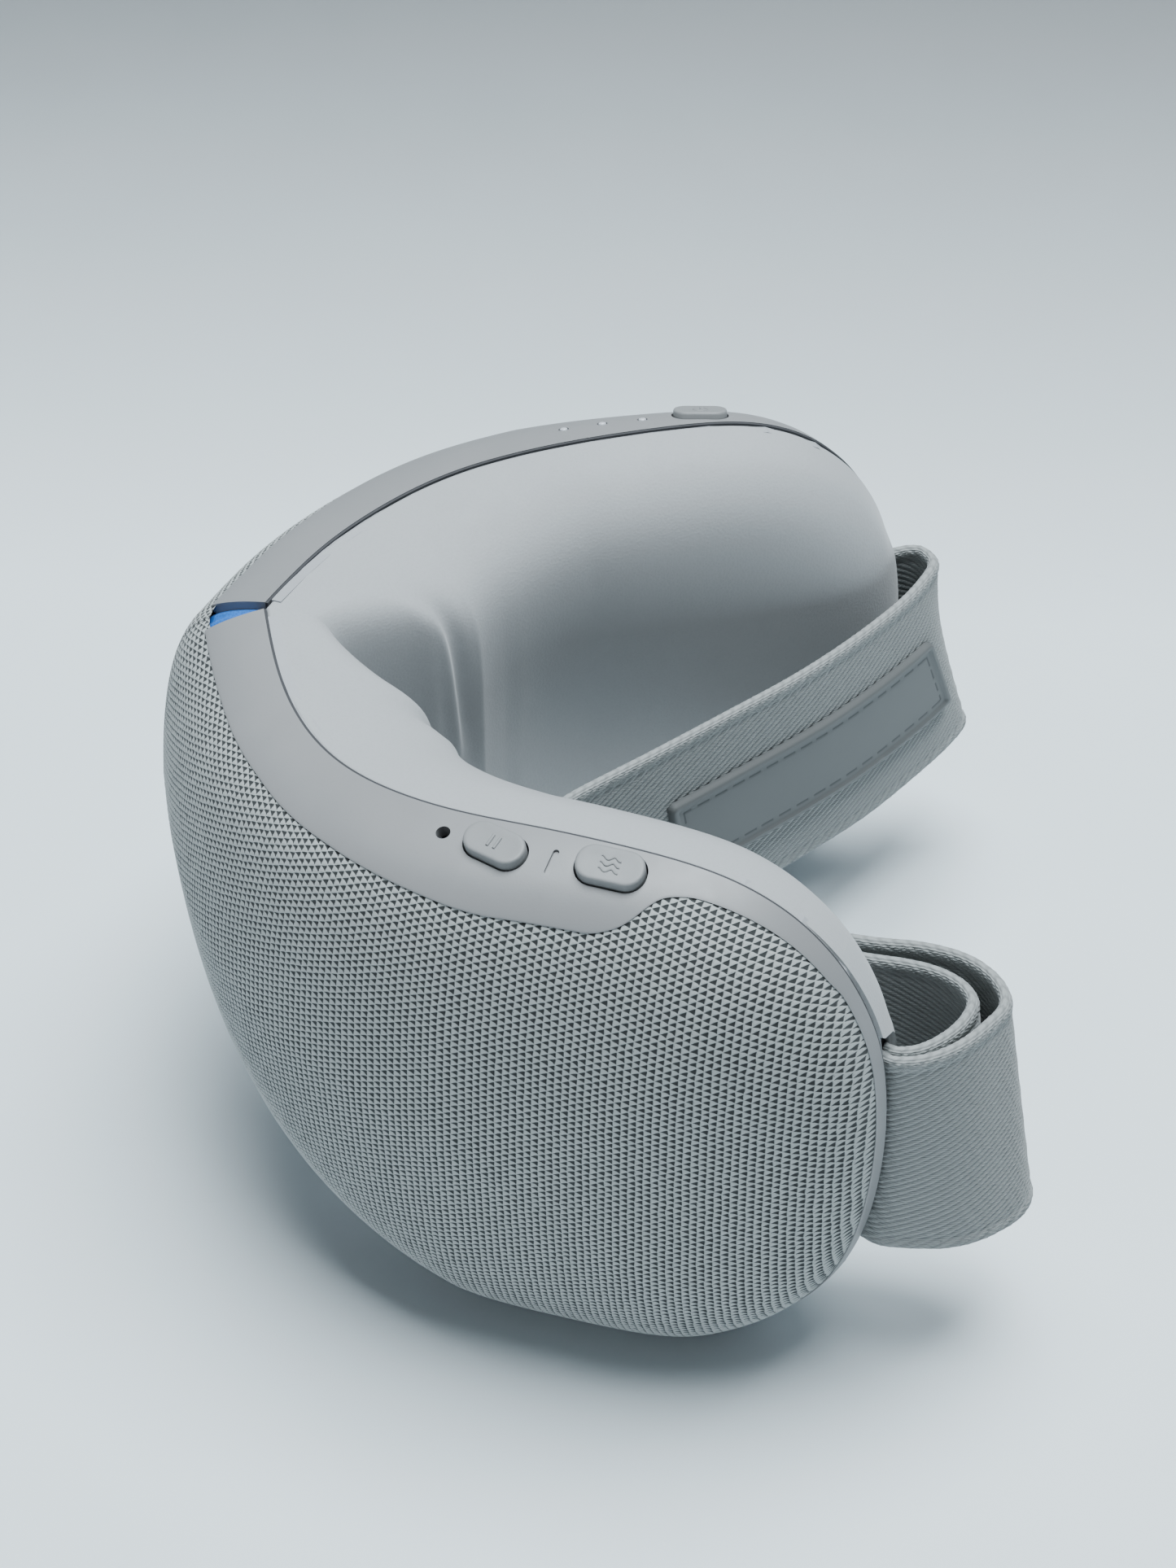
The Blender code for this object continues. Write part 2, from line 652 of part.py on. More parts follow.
def hinge():
    """Leaves, pin, the walls that carry them and the blue gusset between the halves."""
    axis = Matrix.Translation(Vector((0, AXIS_Y, 0)) * MM)
    rod("hinge_pin", axis, PIN_RADIUS, PIN_LOW, PIN_HIGH, "steel")
    for side, tag in ((LEFT, "left"), (RIGHT, "right")):
        hinge_leaf("hinge_leaf_" + tag, side)
        corners = [(WALL_S[0], WALL_N[0]), (WALL_S[1], WALL_N[0]), (WALL_S[1], WALL_N[1]), (WALL_S[0], WALL_N[1])]
        rows = [[place(side, s, z, n) for s, n in corners] for z in WALL_SPAN]
        loft("hinge_wall_" + tag, rows, "shell")
    gusset("gusset_cap", CAP_WEDGE, CAP_SPAN)
    gusset("gusset_web", WEB_WEDGE, WEB_SPAN)


# ---------------------------------------------------------------- strap

# Plan points of the strap, left slot to right slot: x, y at its top edge, then at its bottom edge
STRAP_TOP = [(58.7, 95.0), (57.7, 99.4), (54.8, 104.0), (50.6, 107.8), (46.2, 110.4), (41.4, 109.2), (37.4, 105.2),
             (35.3, 99.0), (34.6, 91.0), (32.8, 82), (28.6, 71), (23.0, 60), (18.0, 50.5), (14.4, 44.8), (10.6, 43.0),
             (6.0, 46.2), (-4.1, 57.5), (-15.0, 69.4), (-24.0, 79.0), (-33.2, 87.4), (-43.0, 95.0), (-50.0, 99.2),
             (-55.2, 101.2), (-58.6, 99.6), (-59.0, 97.2), (-58.2, 95.0)]
STRAP_BOTTOM = [(58.8, 95.0), (58.8, 100.0), (58.2, 105.4), (55.8, 110.6), (51.2, 115.6), (46.0, 116.6),
                (40.8, 113.0), (37.6, 105.6), (36.0, 96.0), (33.6, 85), (29.0, 73), (23.0, 61), (18.0, 51),
                (14.4, 45.2), (10.6, 43.4), (6.0, 46.6), (-4.1, 58.0), (-15.0, 70.0), (-25.0, 80.6),
                (-36.0, 91.4), (-47.0, 100.0), (-56.0, 106.2), (-62.0, 108.8), (-65.4, 106.2), (-63.8, 100.0),
                (-59.2, 95.0)]
TAIL_TOP = [(56.6, 95.4), (55.8, 98.6), (53.2, 102.0), (49.8, 104.6), (46.0, 105.8), (42.6, 104.2), (40.2, 100.8),
            (38.9, 96.4), (38.0, 90.4), (36.2, 82.0), (33.0, 73.6)]
TAIL_BOTTOM = [(56.6, 95.4), (56.6, 100.0), (55.8, 104.6), (52.8, 109.4), (49.4, 112.2), (46.0, 112.6),
               (43.0, 109.8), (40.6, 103.4), (39.2, 95.4), (37.0, 84.5), (33.6, 74.4)]
STRAP_SEGMENTS = 72
TAIL_SEGMENTS = 34
LABEL_SPAN = (0.60, 0.86)
LABEL_LOW = 31.0
LABEL_HIGH = 48.0
LABEL_THICKNESS = 1.2
BAR_RADIUS = 0.9


def ribbon_rows(top, bottom, segments, low, high, near, far, span=(0.0, 1.0)):
    """Closed four point loops along a ribbon between two edge paths, near and far sides offset."""
    start, stop = span
    upper = spline(top, segments)
    lower = spline(bottom, segments)
    rows = []
    for index in range(segments + 1):
        share = index / segments
        if share < start or share > stop:
            continue
        loop = []
        for level, offset in ((high, near), (low, near), (low, far), (high, far)):
            blend = (level - STRAP_LOW) / (STRAP_HIGH - STRAP_LOW)
            path = lower * (1 - blend) + upper * blend
            ahead = path[min(index + 1, segments)] - path[max(index - 1, 0)]
            normal = np.array([ahead[1], -ahead[0]]) / np.linalg.norm(ahead)
            point = path[index] + normal * offset
            loop.append(Vector((point[0], point[1], level)) * MM)
        rows.append(loop)
    return rows


def strap():
    """Elastic strap in a loose loop behind the mask, its folded end, the label and the slot bars."""
    half = STRAP_THICKNESS / 2
    rows = ribbon_rows(STRAP_TOP, STRAP_BOTTOM, STRAP_SEGMENTS, STRAP_LOW, STRAP_HIGH, -half, half)
    loft("strap_band", rows, "webbing")
    rows = ribbon_rows(TAIL_TOP, TAIL_BOTTOM, TAIL_SEGMENTS, STRAP_LOW, STRAP_HIGH, -half, half)
    loft("strap_tail", rows, "webbing")
    rows = ribbon_rows(STRAP_TOP, STRAP_BOTTOM, STRAP_SEGMENTS, LABEL_LOW, LABEL_HIGH,
                       half + TOUCH_GAP, half + TOUCH_GAP + LABEL_THICKNESS, LABEL_SPAN)
    loft("label_patch", rows, "silicone")
    for side, tag in ((LEFT, "left"), (RIGHT, "right")):
        matrix = local_frame(side, SLOT_S, (SLOT_LOW + SLOT_HIGH) / 2, SLOT_N)
        standing = matrix @ Matrix.Rotation(math.radians(90), 4, 'X')
        reach = (SLOT_HIGH - SLOT_LOW) / 2
        rod("strap_bar_" + tag, standing, BAR_RADIUS, -reach, reach, "steel", steps=12)


# ---------------------------------------------------------------- inside

# Places of the moving inner parts: s, height, depth in front of the seam plane
PUMP_AT = (82.0, 64.0, 8.2)
VALVE_AT = (86.0, 64.0, 8.0)
MOTOR_AT = (45.0, 45.0, 7.0)
# Places and sizes (along s, up, through) of the flat inner parts
MAIN_BOARD_AT = (82.0, 33.0, 4.2)
MAIN_BOARD_SIZE = (44.0, 34.0, 1.2)
CHIP_AT = (78.0, 33.0, 6.0)
CHIP_SIZE = (9.0, 9.0, 1.6)
BATTERY_AT = (80.0, 35.0, 6.4)
BATTERY_SIZE = (42.0, 34.0, 6.0)
# Vibration motor, measured along its shaft from its place
CAN_RADIUS = 4.0
CAN_SPAN = (-7.0, 5.0)
WEIGHT_RADIUS = 3.6
HUB_RADIUS = 1.2
WEIGHT_SPAN = (6.2, 10.2)
SHAFT_RADIUS = 0.5
SHAFT_SPAN = (5.4, 8.0)
CRANK_RADIUS = 2.2
CRANK_THROW = 1.2


def straight_axis(side, s, z, n, along):
    """Matrix with local Z along s or along the height."""
    matrix = local_frame(side, s, z, n)
    if along == "s":
        return matrix @ Matrix.Rotation(math.radians(90), 4, 'Y')
    return matrix @ Matrix.Rotation(math.radians(-90), 4, 'X')


def half_disc(outer, inner):
    """Outline of an eccentric weight: a wide half disc over a narrow one."""
    wide = [(outer * math.cos(a), outer * math.sin(a)) for a in np.linspace(0, math.pi, 11)]
    return wide + [(-inner * math.cos(a), -inner * math.sin(a)) for a in np.linspace(0, math.pi, 7)]


def motor(name, side):
    """Vibration motor: a can, and an eccentric weight with its shaft end."""
    matrix = straight_axis(side, *MOTOR_AT, "z")
    rod(name + "_can", matrix, CAN_RADIUS, *CAN_SPAN, "steel", steps=20)
    lobe = half_disc(WEIGHT_RADIUS, HUB_RADIUS)
    weight = loft(name + "_weight", upright_rows(matrix, lobe, WEIGHT_SPAN), "brass")
    join_solid(weight, loft("piece", upright_rows(matrix, circle(SHAFT_RADIUS, 10), SHAFT_SPAN), "brass"))


def upright_rows(matrix, points, span):
    """Loops of a prism along the local Z of a matrix."""
    return [[matrix @ (Vector((x, y, level)) * MM) for x, y in points] for level in span]


def inside_left():
    """Main board, air pump and vibration motor of the left half."""
    box("main_board", LEFT, *MAIN_BOARD_AT, MAIN_BOARD_SIZE, "board")
    box("control_chip", LEFT, *CHIP_AT, CHIP_SIZE, "dark", radius=0.4)
    motor("left_vibration", LEFT)
    axis = straight_axis(LEFT, *PUMP_AT, "s")
    rod("pump_motor", axis, 5.0, -20.0, -3.0, "steel", steps=20)
    tube("pump_head", axis, 6.4, 5.0, -2.6, 9.0, "shell", steps=20)
    crank = [(x, y - CRANK_THROW) for x, y in circle(CRANK_RADIUS, 14)]
    loft("pump_crank", upright_rows(axis, crank, (-2.0, 1.6)), "brass")
    tube("pump_diaphragm", axis, 4.4, 1.0, 3.0, 4.2, "clear", steps=20)


def inside_right():
    """Battery, air valve and vibration motor of the right half."""
    box("battery", RIGHT, *BATTERY_AT, BATTERY_SIZE, "cell", radius=1.5)
    motor("right_vibration", RIGHT)
    axis = straight_axis(RIGHT, *VALVE_AT, "s")
    tube("valve_coil", axis, 5.0, 1.7, -9.0, 3.0, "brass", steps=20)
    rod("valve_plunger", axis, 1.5, -8.0, 5.0, "steel", steps=16)
    tube("valve_seat", axis, 4.6, 0.8, 6.2, 9.0, "shell", steps=20)


# ---------------------------------------------------------------- build

# The drawing above has the seam's front point at y = 0: this centres the finished part on its origin
CENTRE_Y = -50.35
LEFT_NODES = ("left", "pause", "wave", "pump", "main_board", "control_chip", "charging", "sensor", "hinge_pin",
              "gusset", "strap_band", "strap_tail")


def move_origin(item, point):
    """Put an object's origin at a point of the drawing without moving its shape."""
    item.data.transform(Matrix.Translation(-point))
    item.location = point


def set_origins():
    """Give each moving piece an origin on its joint's axis."""
    places = {
        "pause_button": surface_frame(LEFT, *PAUSE[:2]),
        "wave_button": surface_frame(LEFT, *WAVE[:2]),
        "power_button": surface_frame(RIGHT, *POWER[:2]),
        "pump_crank": straight_axis(LEFT, *PUMP_AT, "s"),
        "valve_plunger": straight_axis(RIGHT, *VALVE_AT, "s"),
        "left_vibration_weight": straight_axis(LEFT, *MOTOR_AT, "z"),
        "right_vibration_weight": straight_axis(RIGHT, *MOTOR_AT, "z"),
    }
    for name, matrix in places.items():
        move_origin(bpy.data.objects[name], matrix.translation)


def group_halves():
    """Parent each half to an empty: the left one at the origin, the right one on the fold axis."""
    left = bpy.data.objects.new("left_half", None)
    right = bpy.data.objects.new("right_half", None)
    items = [item for item in bpy.data.objects if item.type == 'MESH']
    for empty in (left, right):
        bpy.context.scene.collection.objects.link(empty)
    left.location = Vector((0, CENTRE_Y, 0)) * MM
    right.location = Vector((0, CENTRE_Y + AXIS_Y, 0)) * MM
    for item in items:
        on_left = item.name.startswith(LEFT_NODES) or item.name.endswith("_left")
        item.parent = left if on_left else right
        if not on_left:
            item.location.y -= AXIS_Y * MM


def main():
    clear_scene()
    frames = {}
    for side, tag in ((LEFT, "left"), (RIGHT, "right")):
        frames[tag] = housing(side, tag)
        padding(side, tag)
    controls_left(frames["left"])
    controls_right(frames["right"])
    hinge()
    strap()
    inside_left()
    inside_right()
    set_origins()
    group_halves()


main()
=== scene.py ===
"""Looks of the foldable eye massager mask: knit fronts, satin bands, one soft cushion and a webbing strap.

Shapes are worked out in millimetres on the same curves as the frame: s along a half's plan curve from the
fold, z up, and n in front of the padding seam.
"""
import json
import math

import bmesh
import bpy
import numpy as np
from mathutils import Matrix, Vector
from mathutils.kdtree import KDTree


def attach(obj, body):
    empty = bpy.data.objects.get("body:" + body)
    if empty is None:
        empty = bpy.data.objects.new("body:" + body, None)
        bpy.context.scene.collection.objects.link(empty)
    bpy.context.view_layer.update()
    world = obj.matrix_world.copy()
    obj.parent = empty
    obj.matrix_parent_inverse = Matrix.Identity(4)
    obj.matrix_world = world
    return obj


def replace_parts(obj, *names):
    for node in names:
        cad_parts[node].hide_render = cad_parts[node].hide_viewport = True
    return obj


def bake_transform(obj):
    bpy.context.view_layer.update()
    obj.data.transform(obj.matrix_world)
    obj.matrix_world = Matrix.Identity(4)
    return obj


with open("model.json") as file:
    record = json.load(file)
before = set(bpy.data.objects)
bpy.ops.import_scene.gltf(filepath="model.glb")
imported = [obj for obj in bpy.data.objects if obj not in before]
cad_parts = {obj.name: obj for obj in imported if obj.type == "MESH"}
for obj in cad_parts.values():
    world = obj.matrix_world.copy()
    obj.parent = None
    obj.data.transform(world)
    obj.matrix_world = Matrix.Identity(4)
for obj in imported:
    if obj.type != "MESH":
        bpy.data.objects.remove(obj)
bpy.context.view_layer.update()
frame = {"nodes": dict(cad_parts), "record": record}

LEFT, RIGHT = 1, -1
MM = 0.001
CENTRE_Y = -50.35
HINGE_HEADING, END_HEADING, BEND_LENGTH, PLAN_STEP, PLAN_LENGTH = 14.5, 74.0, 68.0, 0.5, 130.0
HINGE_S, HINGE_TOP, HINGE_TALL = 0.8, 93.0, 61.5
TOP_KEYS = [(HINGE_S, HINGE_TOP), (14, 90.6), (31, 89.6), (51, 91.2), (73, 92.8), (93, 92.2), (105, 87.6),
            (113, 79.8)]
END_KEYS = [(113, 79.8), (118, 69.0), (119.9, 57.0), (120, 44.0), (118.2, 29.5), (114, 17.0), (108, 8.6)]
BOTTOM_KEYS = [(108, 8.6), (99, 2.0), (90, -0.6), (75, -0.8), (61, 0.3), (50, 4.0), (39, 9.6), (26, 17.2),
               (13, 25.0), (HINGE_S, HINGE_TOP - HINGE_TALL)]
EDGE_KEYS = [(-5, 9.5), (60, 9.0), (90, 5.5), (125, 3.5)]
CROWN_KEYS = [(-5, 18.0), (30, 19.5), (60, 21.5), (88, 20.5), (125, 17.0)]
EDGE_RISE, CROWN_RISE = 2.0, 13.0
BAND_FRONT = [(0, 3.0), (14, 2.8), (28, 3.0), (42, 3.9), (55, 5.2), (64, 6.2)]
BAND_TOP = {LEFT: BAND_FRONT + [(80, 6.3), (84, 5.0), (87.5, 2.1), (92, 1.5), (125, 0.9)],
            RIGHT: BAND_FRONT + [(92, 6.3), (96, 5.0), (100, 2.2), (104, 1.5), (125, 0.9)]}
BAND_END = 0.9
BAND_BOTTOM = [(0, 3.0), (34, 5.0), (56, 5.0), (72, 1.6), (125, 1.6)]
PAD_BASE, PAD_RISE = 5.3, 5.0
PAD_KEYS = [(0, 15.0), (12, 20.0), (30, 23.0), (50, 20.5), (66, 17.0), (92, 16.0), (125, 14.0)]
EYE_CENTRE, EYE_RADIUS, EYE_DEPTH = (64.0, 46.0), 17.0, 3.0
NOSE_SHEAR, NOSE_SHEAR_END = 0.5, 45.0
TOP_STATIONS, END_STATIONS = 260, 130
FINE_TOP, FINE_END = 1500, 700


# ---------------------------------------------------------------- curves

def plan_table():
    x = y = 0.0
    rows = []
    for index in range(int(PLAN_LENGTH / PLAN_STEP) + 1):
        share = min(1.0, index * PLAN_STEP / BEND_LENGTH)
        turn = share * share * (3 - 2 * share)
        heading = math.radians(HINGE_HEADING + (END_HEADING - HINGE_HEADING) * turn)
        rows.append((index * PLAN_STEP, x, y, heading))
        x += PLAN_STEP * math.cos(heading)
        y += PLAN_STEP * math.sin(heading)
    return np.array(rows)


PLAN = plan_table()


def place(side, s, z, n):
    """Points in metres for local numbers, which may be arrays."""
    s, z, n = np.broadcast_arrays(np.asarray(s, float), np.asarray(z, float), np.asarray(n, float))
    heading = np.interp(s, PLAN[:, 0], PLAN[:, 3])
    before = np.minimum(s, 0)
    x = np.interp(s, PLAN[:, 0], PLAN[:, 1]) + before * np.cos(heading) + n * np.sin(heading)
    y = np.interp(s, PLAN[:, 0], PLAN[:, 2]) + before * np.sin(heading) - n * np.cos(heading)
    return np.stack([side * x, y + CENTRE_Y, (z + np.sqrt(z * z + 0.5)) / 2], axis=-1) * MM


def keyed(keys, value):
    table = np.array(keys, float)
    return np.interp(value, table[:, 0], table[:, 1])


def spline(keys, count):
    """Catmull-Rom curve through the keys, evenly spaced."""
    points = [np.array(key, float) for key in keys]
    points = [2 * points[0] - points[1]] + points + [2 * points[-1] - points[-2]]
    t = (np.arange(40) / 40)[:, None]
    dense = [0.5 * (2 * b + (c - a) * t + (2 * a - 5 * b + 4 * c - d) * t ** 2
                    + (3 * b - a - 3 * c + d) * t ** 3)
             for a, b, c, d in zip(points, points[1:], points[2:], points[3:])]
    dense = np.concatenate(dense + [points[-2][None]])
    lengths = np.concatenate([[0], np.cumsum(np.linalg.norm(np.diff(dense, axis=0), axis=1))])
    wanted = np.linspace(0, lengths[-1], count + 1)
    return np.stack([np.interp(wanted, lengths, dense[:, axis]) for axis in range(dense.shape[1])], axis=1)


def softened(values, reach):
    """Values along a chain, blurred over a number of stations."""
    kernel = np.hanning(2 * reach + 3)[1:-1]
    padded_values = np.pad(values, reach, mode="edge")
    return np.convolve(padded_values, kernel / kernel.sum(), mode="valid")


def eased(chain, reach):
    """Chain with its corners rounded off and its two ends kept."""
    kernel = np.hanning(2 * reach + 3)[1:-1]
    kernel /= kernel.sum()
    before, after = 2 * chain[0] - chain[reach:0:-1], 2 * chain[-1] - chain[-2:-reach - 2:-1]
    longer = np.concatenate([before, chain, after])
    return np.stack([np.convolve(longer[:, axis], kernel, mode="valid") for axis in (0, 1)], axis=1)


def outline(top_count, end_count):
    parts = (spline(TOP_KEYS, top_count), spline(END_KEYS, end_count), spline(BOTTOM_KEYS, top_count))
    chain = eased(np.concatenate([parts[0], parts[1][1:], parts[2][1:]]), round(0.06 * top_count))
    ahead = np.gradient(chain, axis=0)
    inward = np.stack([ahead[:, 1], -ahead[:, 0]], axis=1)
    inward /= np.linalg.norm(inward, axis=1)[:, None]
    share = np.clip(np.minimum(chain[:, 0] - HINGE_S, 2.0) / 2.0, 0, 1)[:, None]
    square = np.array([[0.0, -1.0]]) * np.sign(chain[:, 1:] - 60)
    inward = inward * share + square * (1 - share)
    return chain, inward / np.linalg.norm(inward, axis=1)[:, None]


CHAIN, INWARD = outline(TOP_STATIONS, END_STATIONS)
FINE, FINE_INWARD = outline(FINE_TOP, FINE_END)


def band_widths(side, chain, top_count, end_count):
    index = np.arange(len(chain))
    widths = np.where(index <= top_count, keyed(BAND_TOP[side], chain[:, 0]), BAND_END)
    widths = np.where(index > top_count + end_count, keyed(BAND_BOTTOM, chain[:, 0]), widths)
    return softened(widths, max(3, top_count // 45))


FINE_WIDTHS = {side: band_widths(side, FINE, FINE_TOP, FINE_END) for side in (LEFT, RIGHT)}
TREE = KDTree(len(FINE))
for number, (fine_s, fine_z) in enumerate(FINE):
    TREE.insert((fine_s, fine_z, 0), number)
TREE.balance()


def edge_inset(s, z):
    """Signed distance inside the outline and the nearest station, for arrays."""
    flat = np.stack([np.ravel(s), np.ravel(z)], axis=1)
    found = [TREE.find((a, b, 0.0)) for a, b in flat]
    index = np.array([item[1] for item in found])
    distance = np.array([item[2] for item in found])
    inside = np.einsum("ij,ij->i", flat - FINE[index], FINE_INWARD[index]) > 0
    return np.where(inside, distance, -distance).reshape(np.shape(s)), index.reshape(np.shape(s))


def crown_at(s, distance):
    """Height of the front surface and its slope, from the distance to the outline."""
    distance = np.maximum(distance, 0)
    edge, top = keyed(EDGE_KEYS, s), keyed(CROWN_KEYS, s)
    quick, slow = np.exp(-distance / EDGE_RISE), np.exp(-distance / CROWN_RISE)
    height = edge * (1 - quick) + (top - edge) * (1 - slow)
    return height, edge / EDGE_RISE * quick + (top - edge) / CROWN_RISE * slow


# ---------------------------------------------------------------- mesh tools

def grid_faces(rows, columns, wrap=False, offset=0):
    """Quads of a grid of points stored row by row."""
    span = columns if wrap else columns - 1
    i, j = np.meshgrid(np.arange(rows - 1), np.arange(span), indexing="ij")
    k = (j + 1) % columns
    here, beyond = i * columns, (i + 1) * columns
    faces = np.stack([here + j, beyond + j, beyond + k, here + k], axis=-1)
    return faces.reshape(-1, 4) + offset


def make(name, points, faces, look, uv=None, sharp=None):
    """Named mesh object from points in metres, with outward normals."""
    mesh = bpy.data.meshes.new(name)
    mesh.from_pydata(np.asarray(points).reshape(-1, 3).tolist(), [], [tuple(face) for face in faces])
    if uv is not None:
        layer = mesh.uv_layers.new(name="weave")
        corners = np.zeros(len(mesh.loops), np.int32)
        mesh.loops.foreach_get("vertex_index", corners)
        layer.data.foreach_set("uv", np.asarray(uv, np.float32).reshape(-1, 2)[corners].ravel())
    item = bpy.data.objects.new(name, mesh)
    bpy.context.scene.collection.objects.link(item)
    tidy_mesh(mesh, sharp)
    mesh.materials.append(look)
    return item


def tidy_mesh(mesh, sharp=None):
    """Merge touching points, face outwards and shade smooth up to an angle."""
    data = bmesh.new()
    data.from_mesh(mesh)
    bmesh.ops.remove_doubles(data, verts=data.verts, dist=2e-6)
    bmesh.ops.recalc_face_normals(data, faces=data.faces)
    data.to_mesh(mesh)
    data.free()
    mesh.shade_smooth()
    if sharp is not None:
        mesh.set_sharp_from_angle(angle=math.radians(sharp))


def shell(name, upper, lower, look, uv=None, sharp=50):
    """Closed body between two equal grids."""
    rows, columns = upper.shape[:2]
    count = rows * columns
    faces = [grid_faces(rows, columns), grid_faces(rows, columns, offset=count)[:, ::-1]]
    rim = [(i, 0) for i in range(rows)] + [(rows - 1, j) for j in range(1, columns)]
    rim += [(i, columns - 1) for i in range(rows - 2, -1, -1)] + [(0, j) for j in range(columns - 2, 0, -1)]
    edge = np.array([i * columns + j for i, j in rim])
    after = np.roll(edge, -1)
    faces.append(np.stack([edge, edge + count, after + count, after], axis=1))
    if uv is not None:
        uv = np.concatenate([np.asarray(uv).reshape(-1, 2)] * 2)
    points = np.concatenate([upper.reshape(-1, 3), lower.reshape(-1, 3)])
    return make(name, points, np.concatenate(faces), look, uv, sharp)


def ring_body(name, loops, look, uv=None, sharp=40, caps=True):
    """Closed body through loops of points."""
    rows, columns = loops.shape[:2]
    faces = [tuple(face) for face in grid_faces(rows, columns, wrap=True)]
    if caps:
        faces += [tuple(range(columns)), tuple(range((rows - 1) * columns, rows * columns))]
    return make(name, loops, faces, look, uv, sharp)


def cut(target, cutters):
    """Take cutter bodies out of a mesh with exact Booleans."""
    for cutter in cutters:
        modifier = target.modifiers.new("cut", 'BOOLEAN')
        modifier.operation, modifier.solver, modifier.object = 'DIFFERENCE', 'EXACT', cutter
    graph = bpy.context.evaluated_depsgraph_get()
    mesh = bpy.data.meshes.new_from_object(target.evaluated_get(graph))
    target.modifiers.clear()
    target.data = mesh
    for cutter in cutters:
        bpy.data.objects.remove(cutter, do_unlink=True)
    tidy_mesh(mesh, 32)


def transformed(matrix, points):
    """Points in millimetres on a matrix, as metres."""
    table = np.array(matrix.to_3x3())
    return np.asarray(points, float) * MM @ table.T + np.array(matrix.translation)


def rounded(length, width, radius, steps=8):
    """Corner points of a rounded rectangle centred on the origin."""
    angle = np.radians(np.linspace(0, 90, steps + 1))
    points = []
    for sign_x, sign_y, start in ((1, 1, 0), (-1, 1, 90), (-1, -1, 180), (1, -1, 270)):
        turn = angle + math.radians(start)
        points.append(np.stack([sign_x * (length / 2 - radius) + radius * np.cos(turn),
                                sign_y * (width / 2 - radius) + radius * np.sin(turn)], axis=1))
    return np.concatenate(points)


def levels_body(name, matrix, levels, look, sharp=40):
    """Body along local Z from (outline, height) pairs."""
    loops = [transformed(matrix, np.column_stack([points, np.full(len(points), height)]))
             for points, height in levels]
    return ring_body(name, np.array(loops), look, sharp=sharp)


def surface_frame(side, s, z):
    """Matrix on the front surface: local X along the band, local Z square to the surface."""
    step = 0.5
    spots = np.array([(s, z), (s + step, z), (s - step, z), (s, z + step), (s, z - step)])
    inset, _ = edge_inset(spots[:, 0], spots[:, 1])
    height, _ = crown_at(spots[:, 0], inset)
    placed = place(side, spots[:, 0], spots[:, 1], height)
    here, ahead, behind, above, below = (Vector(point) for point in placed)
    along = (ahead - behind).normalized()
    face = (along.cross(above - below) * side).normalized()
    return Matrix.Translation(here) @ Matrix((along, face.cross(along), face)).transposed().to_4x4()


def patch(boundary, rows, columns):
    """Coons grid of s, z points that fills a chain: rows along s, columns up."""
    top = boundary[:TOP_STATIONS + 1]
    end = boundary[TOP_STATIONS:TOP_STATIONS + END_STATIONS + 1][::-1]
    bottom = boundary[TOP_STATIONS + END_STATIONS:][::-1]

    def even(curve, count):
        share = np.linspace(0, 1, count + 1)
        share = 0.45 * share + 0.55 * (0.5 - 0.5 * np.cos(math.pi * share))
        lengths = np.concatenate([[0], np.cumsum(np.linalg.norm(np.diff(curve, axis=0), axis=1))])
        wanted = share * lengths[-1]
        return np.stack([np.interp(wanted, lengths, curve[:, axis]) for axis in (0, 1)], axis=1), share
    top, u = even(top, rows)
    bottom, _ = even(bottom, rows)
    end, v = even(end, columns)
    hinge = bottom[0] + (top[0] - bottom[0]) * v[:, None]
    u, v = u[:, None, None], v[None, :, None]
    ruled_v = (1 - v) * bottom[:, None] + v * top[:, None]
    ruled_u = (1 - u) * hinge[None] + u * end[None]
    corners = ((1 - u) * (1 - v) * bottom[0] + u * (1 - v) * bottom[-1] + (1 - u) * v * top[0]
               + u * v * top[-1])
    return ruled_v + ruled_u - corners


# ---------------------------------------------------------------- materials

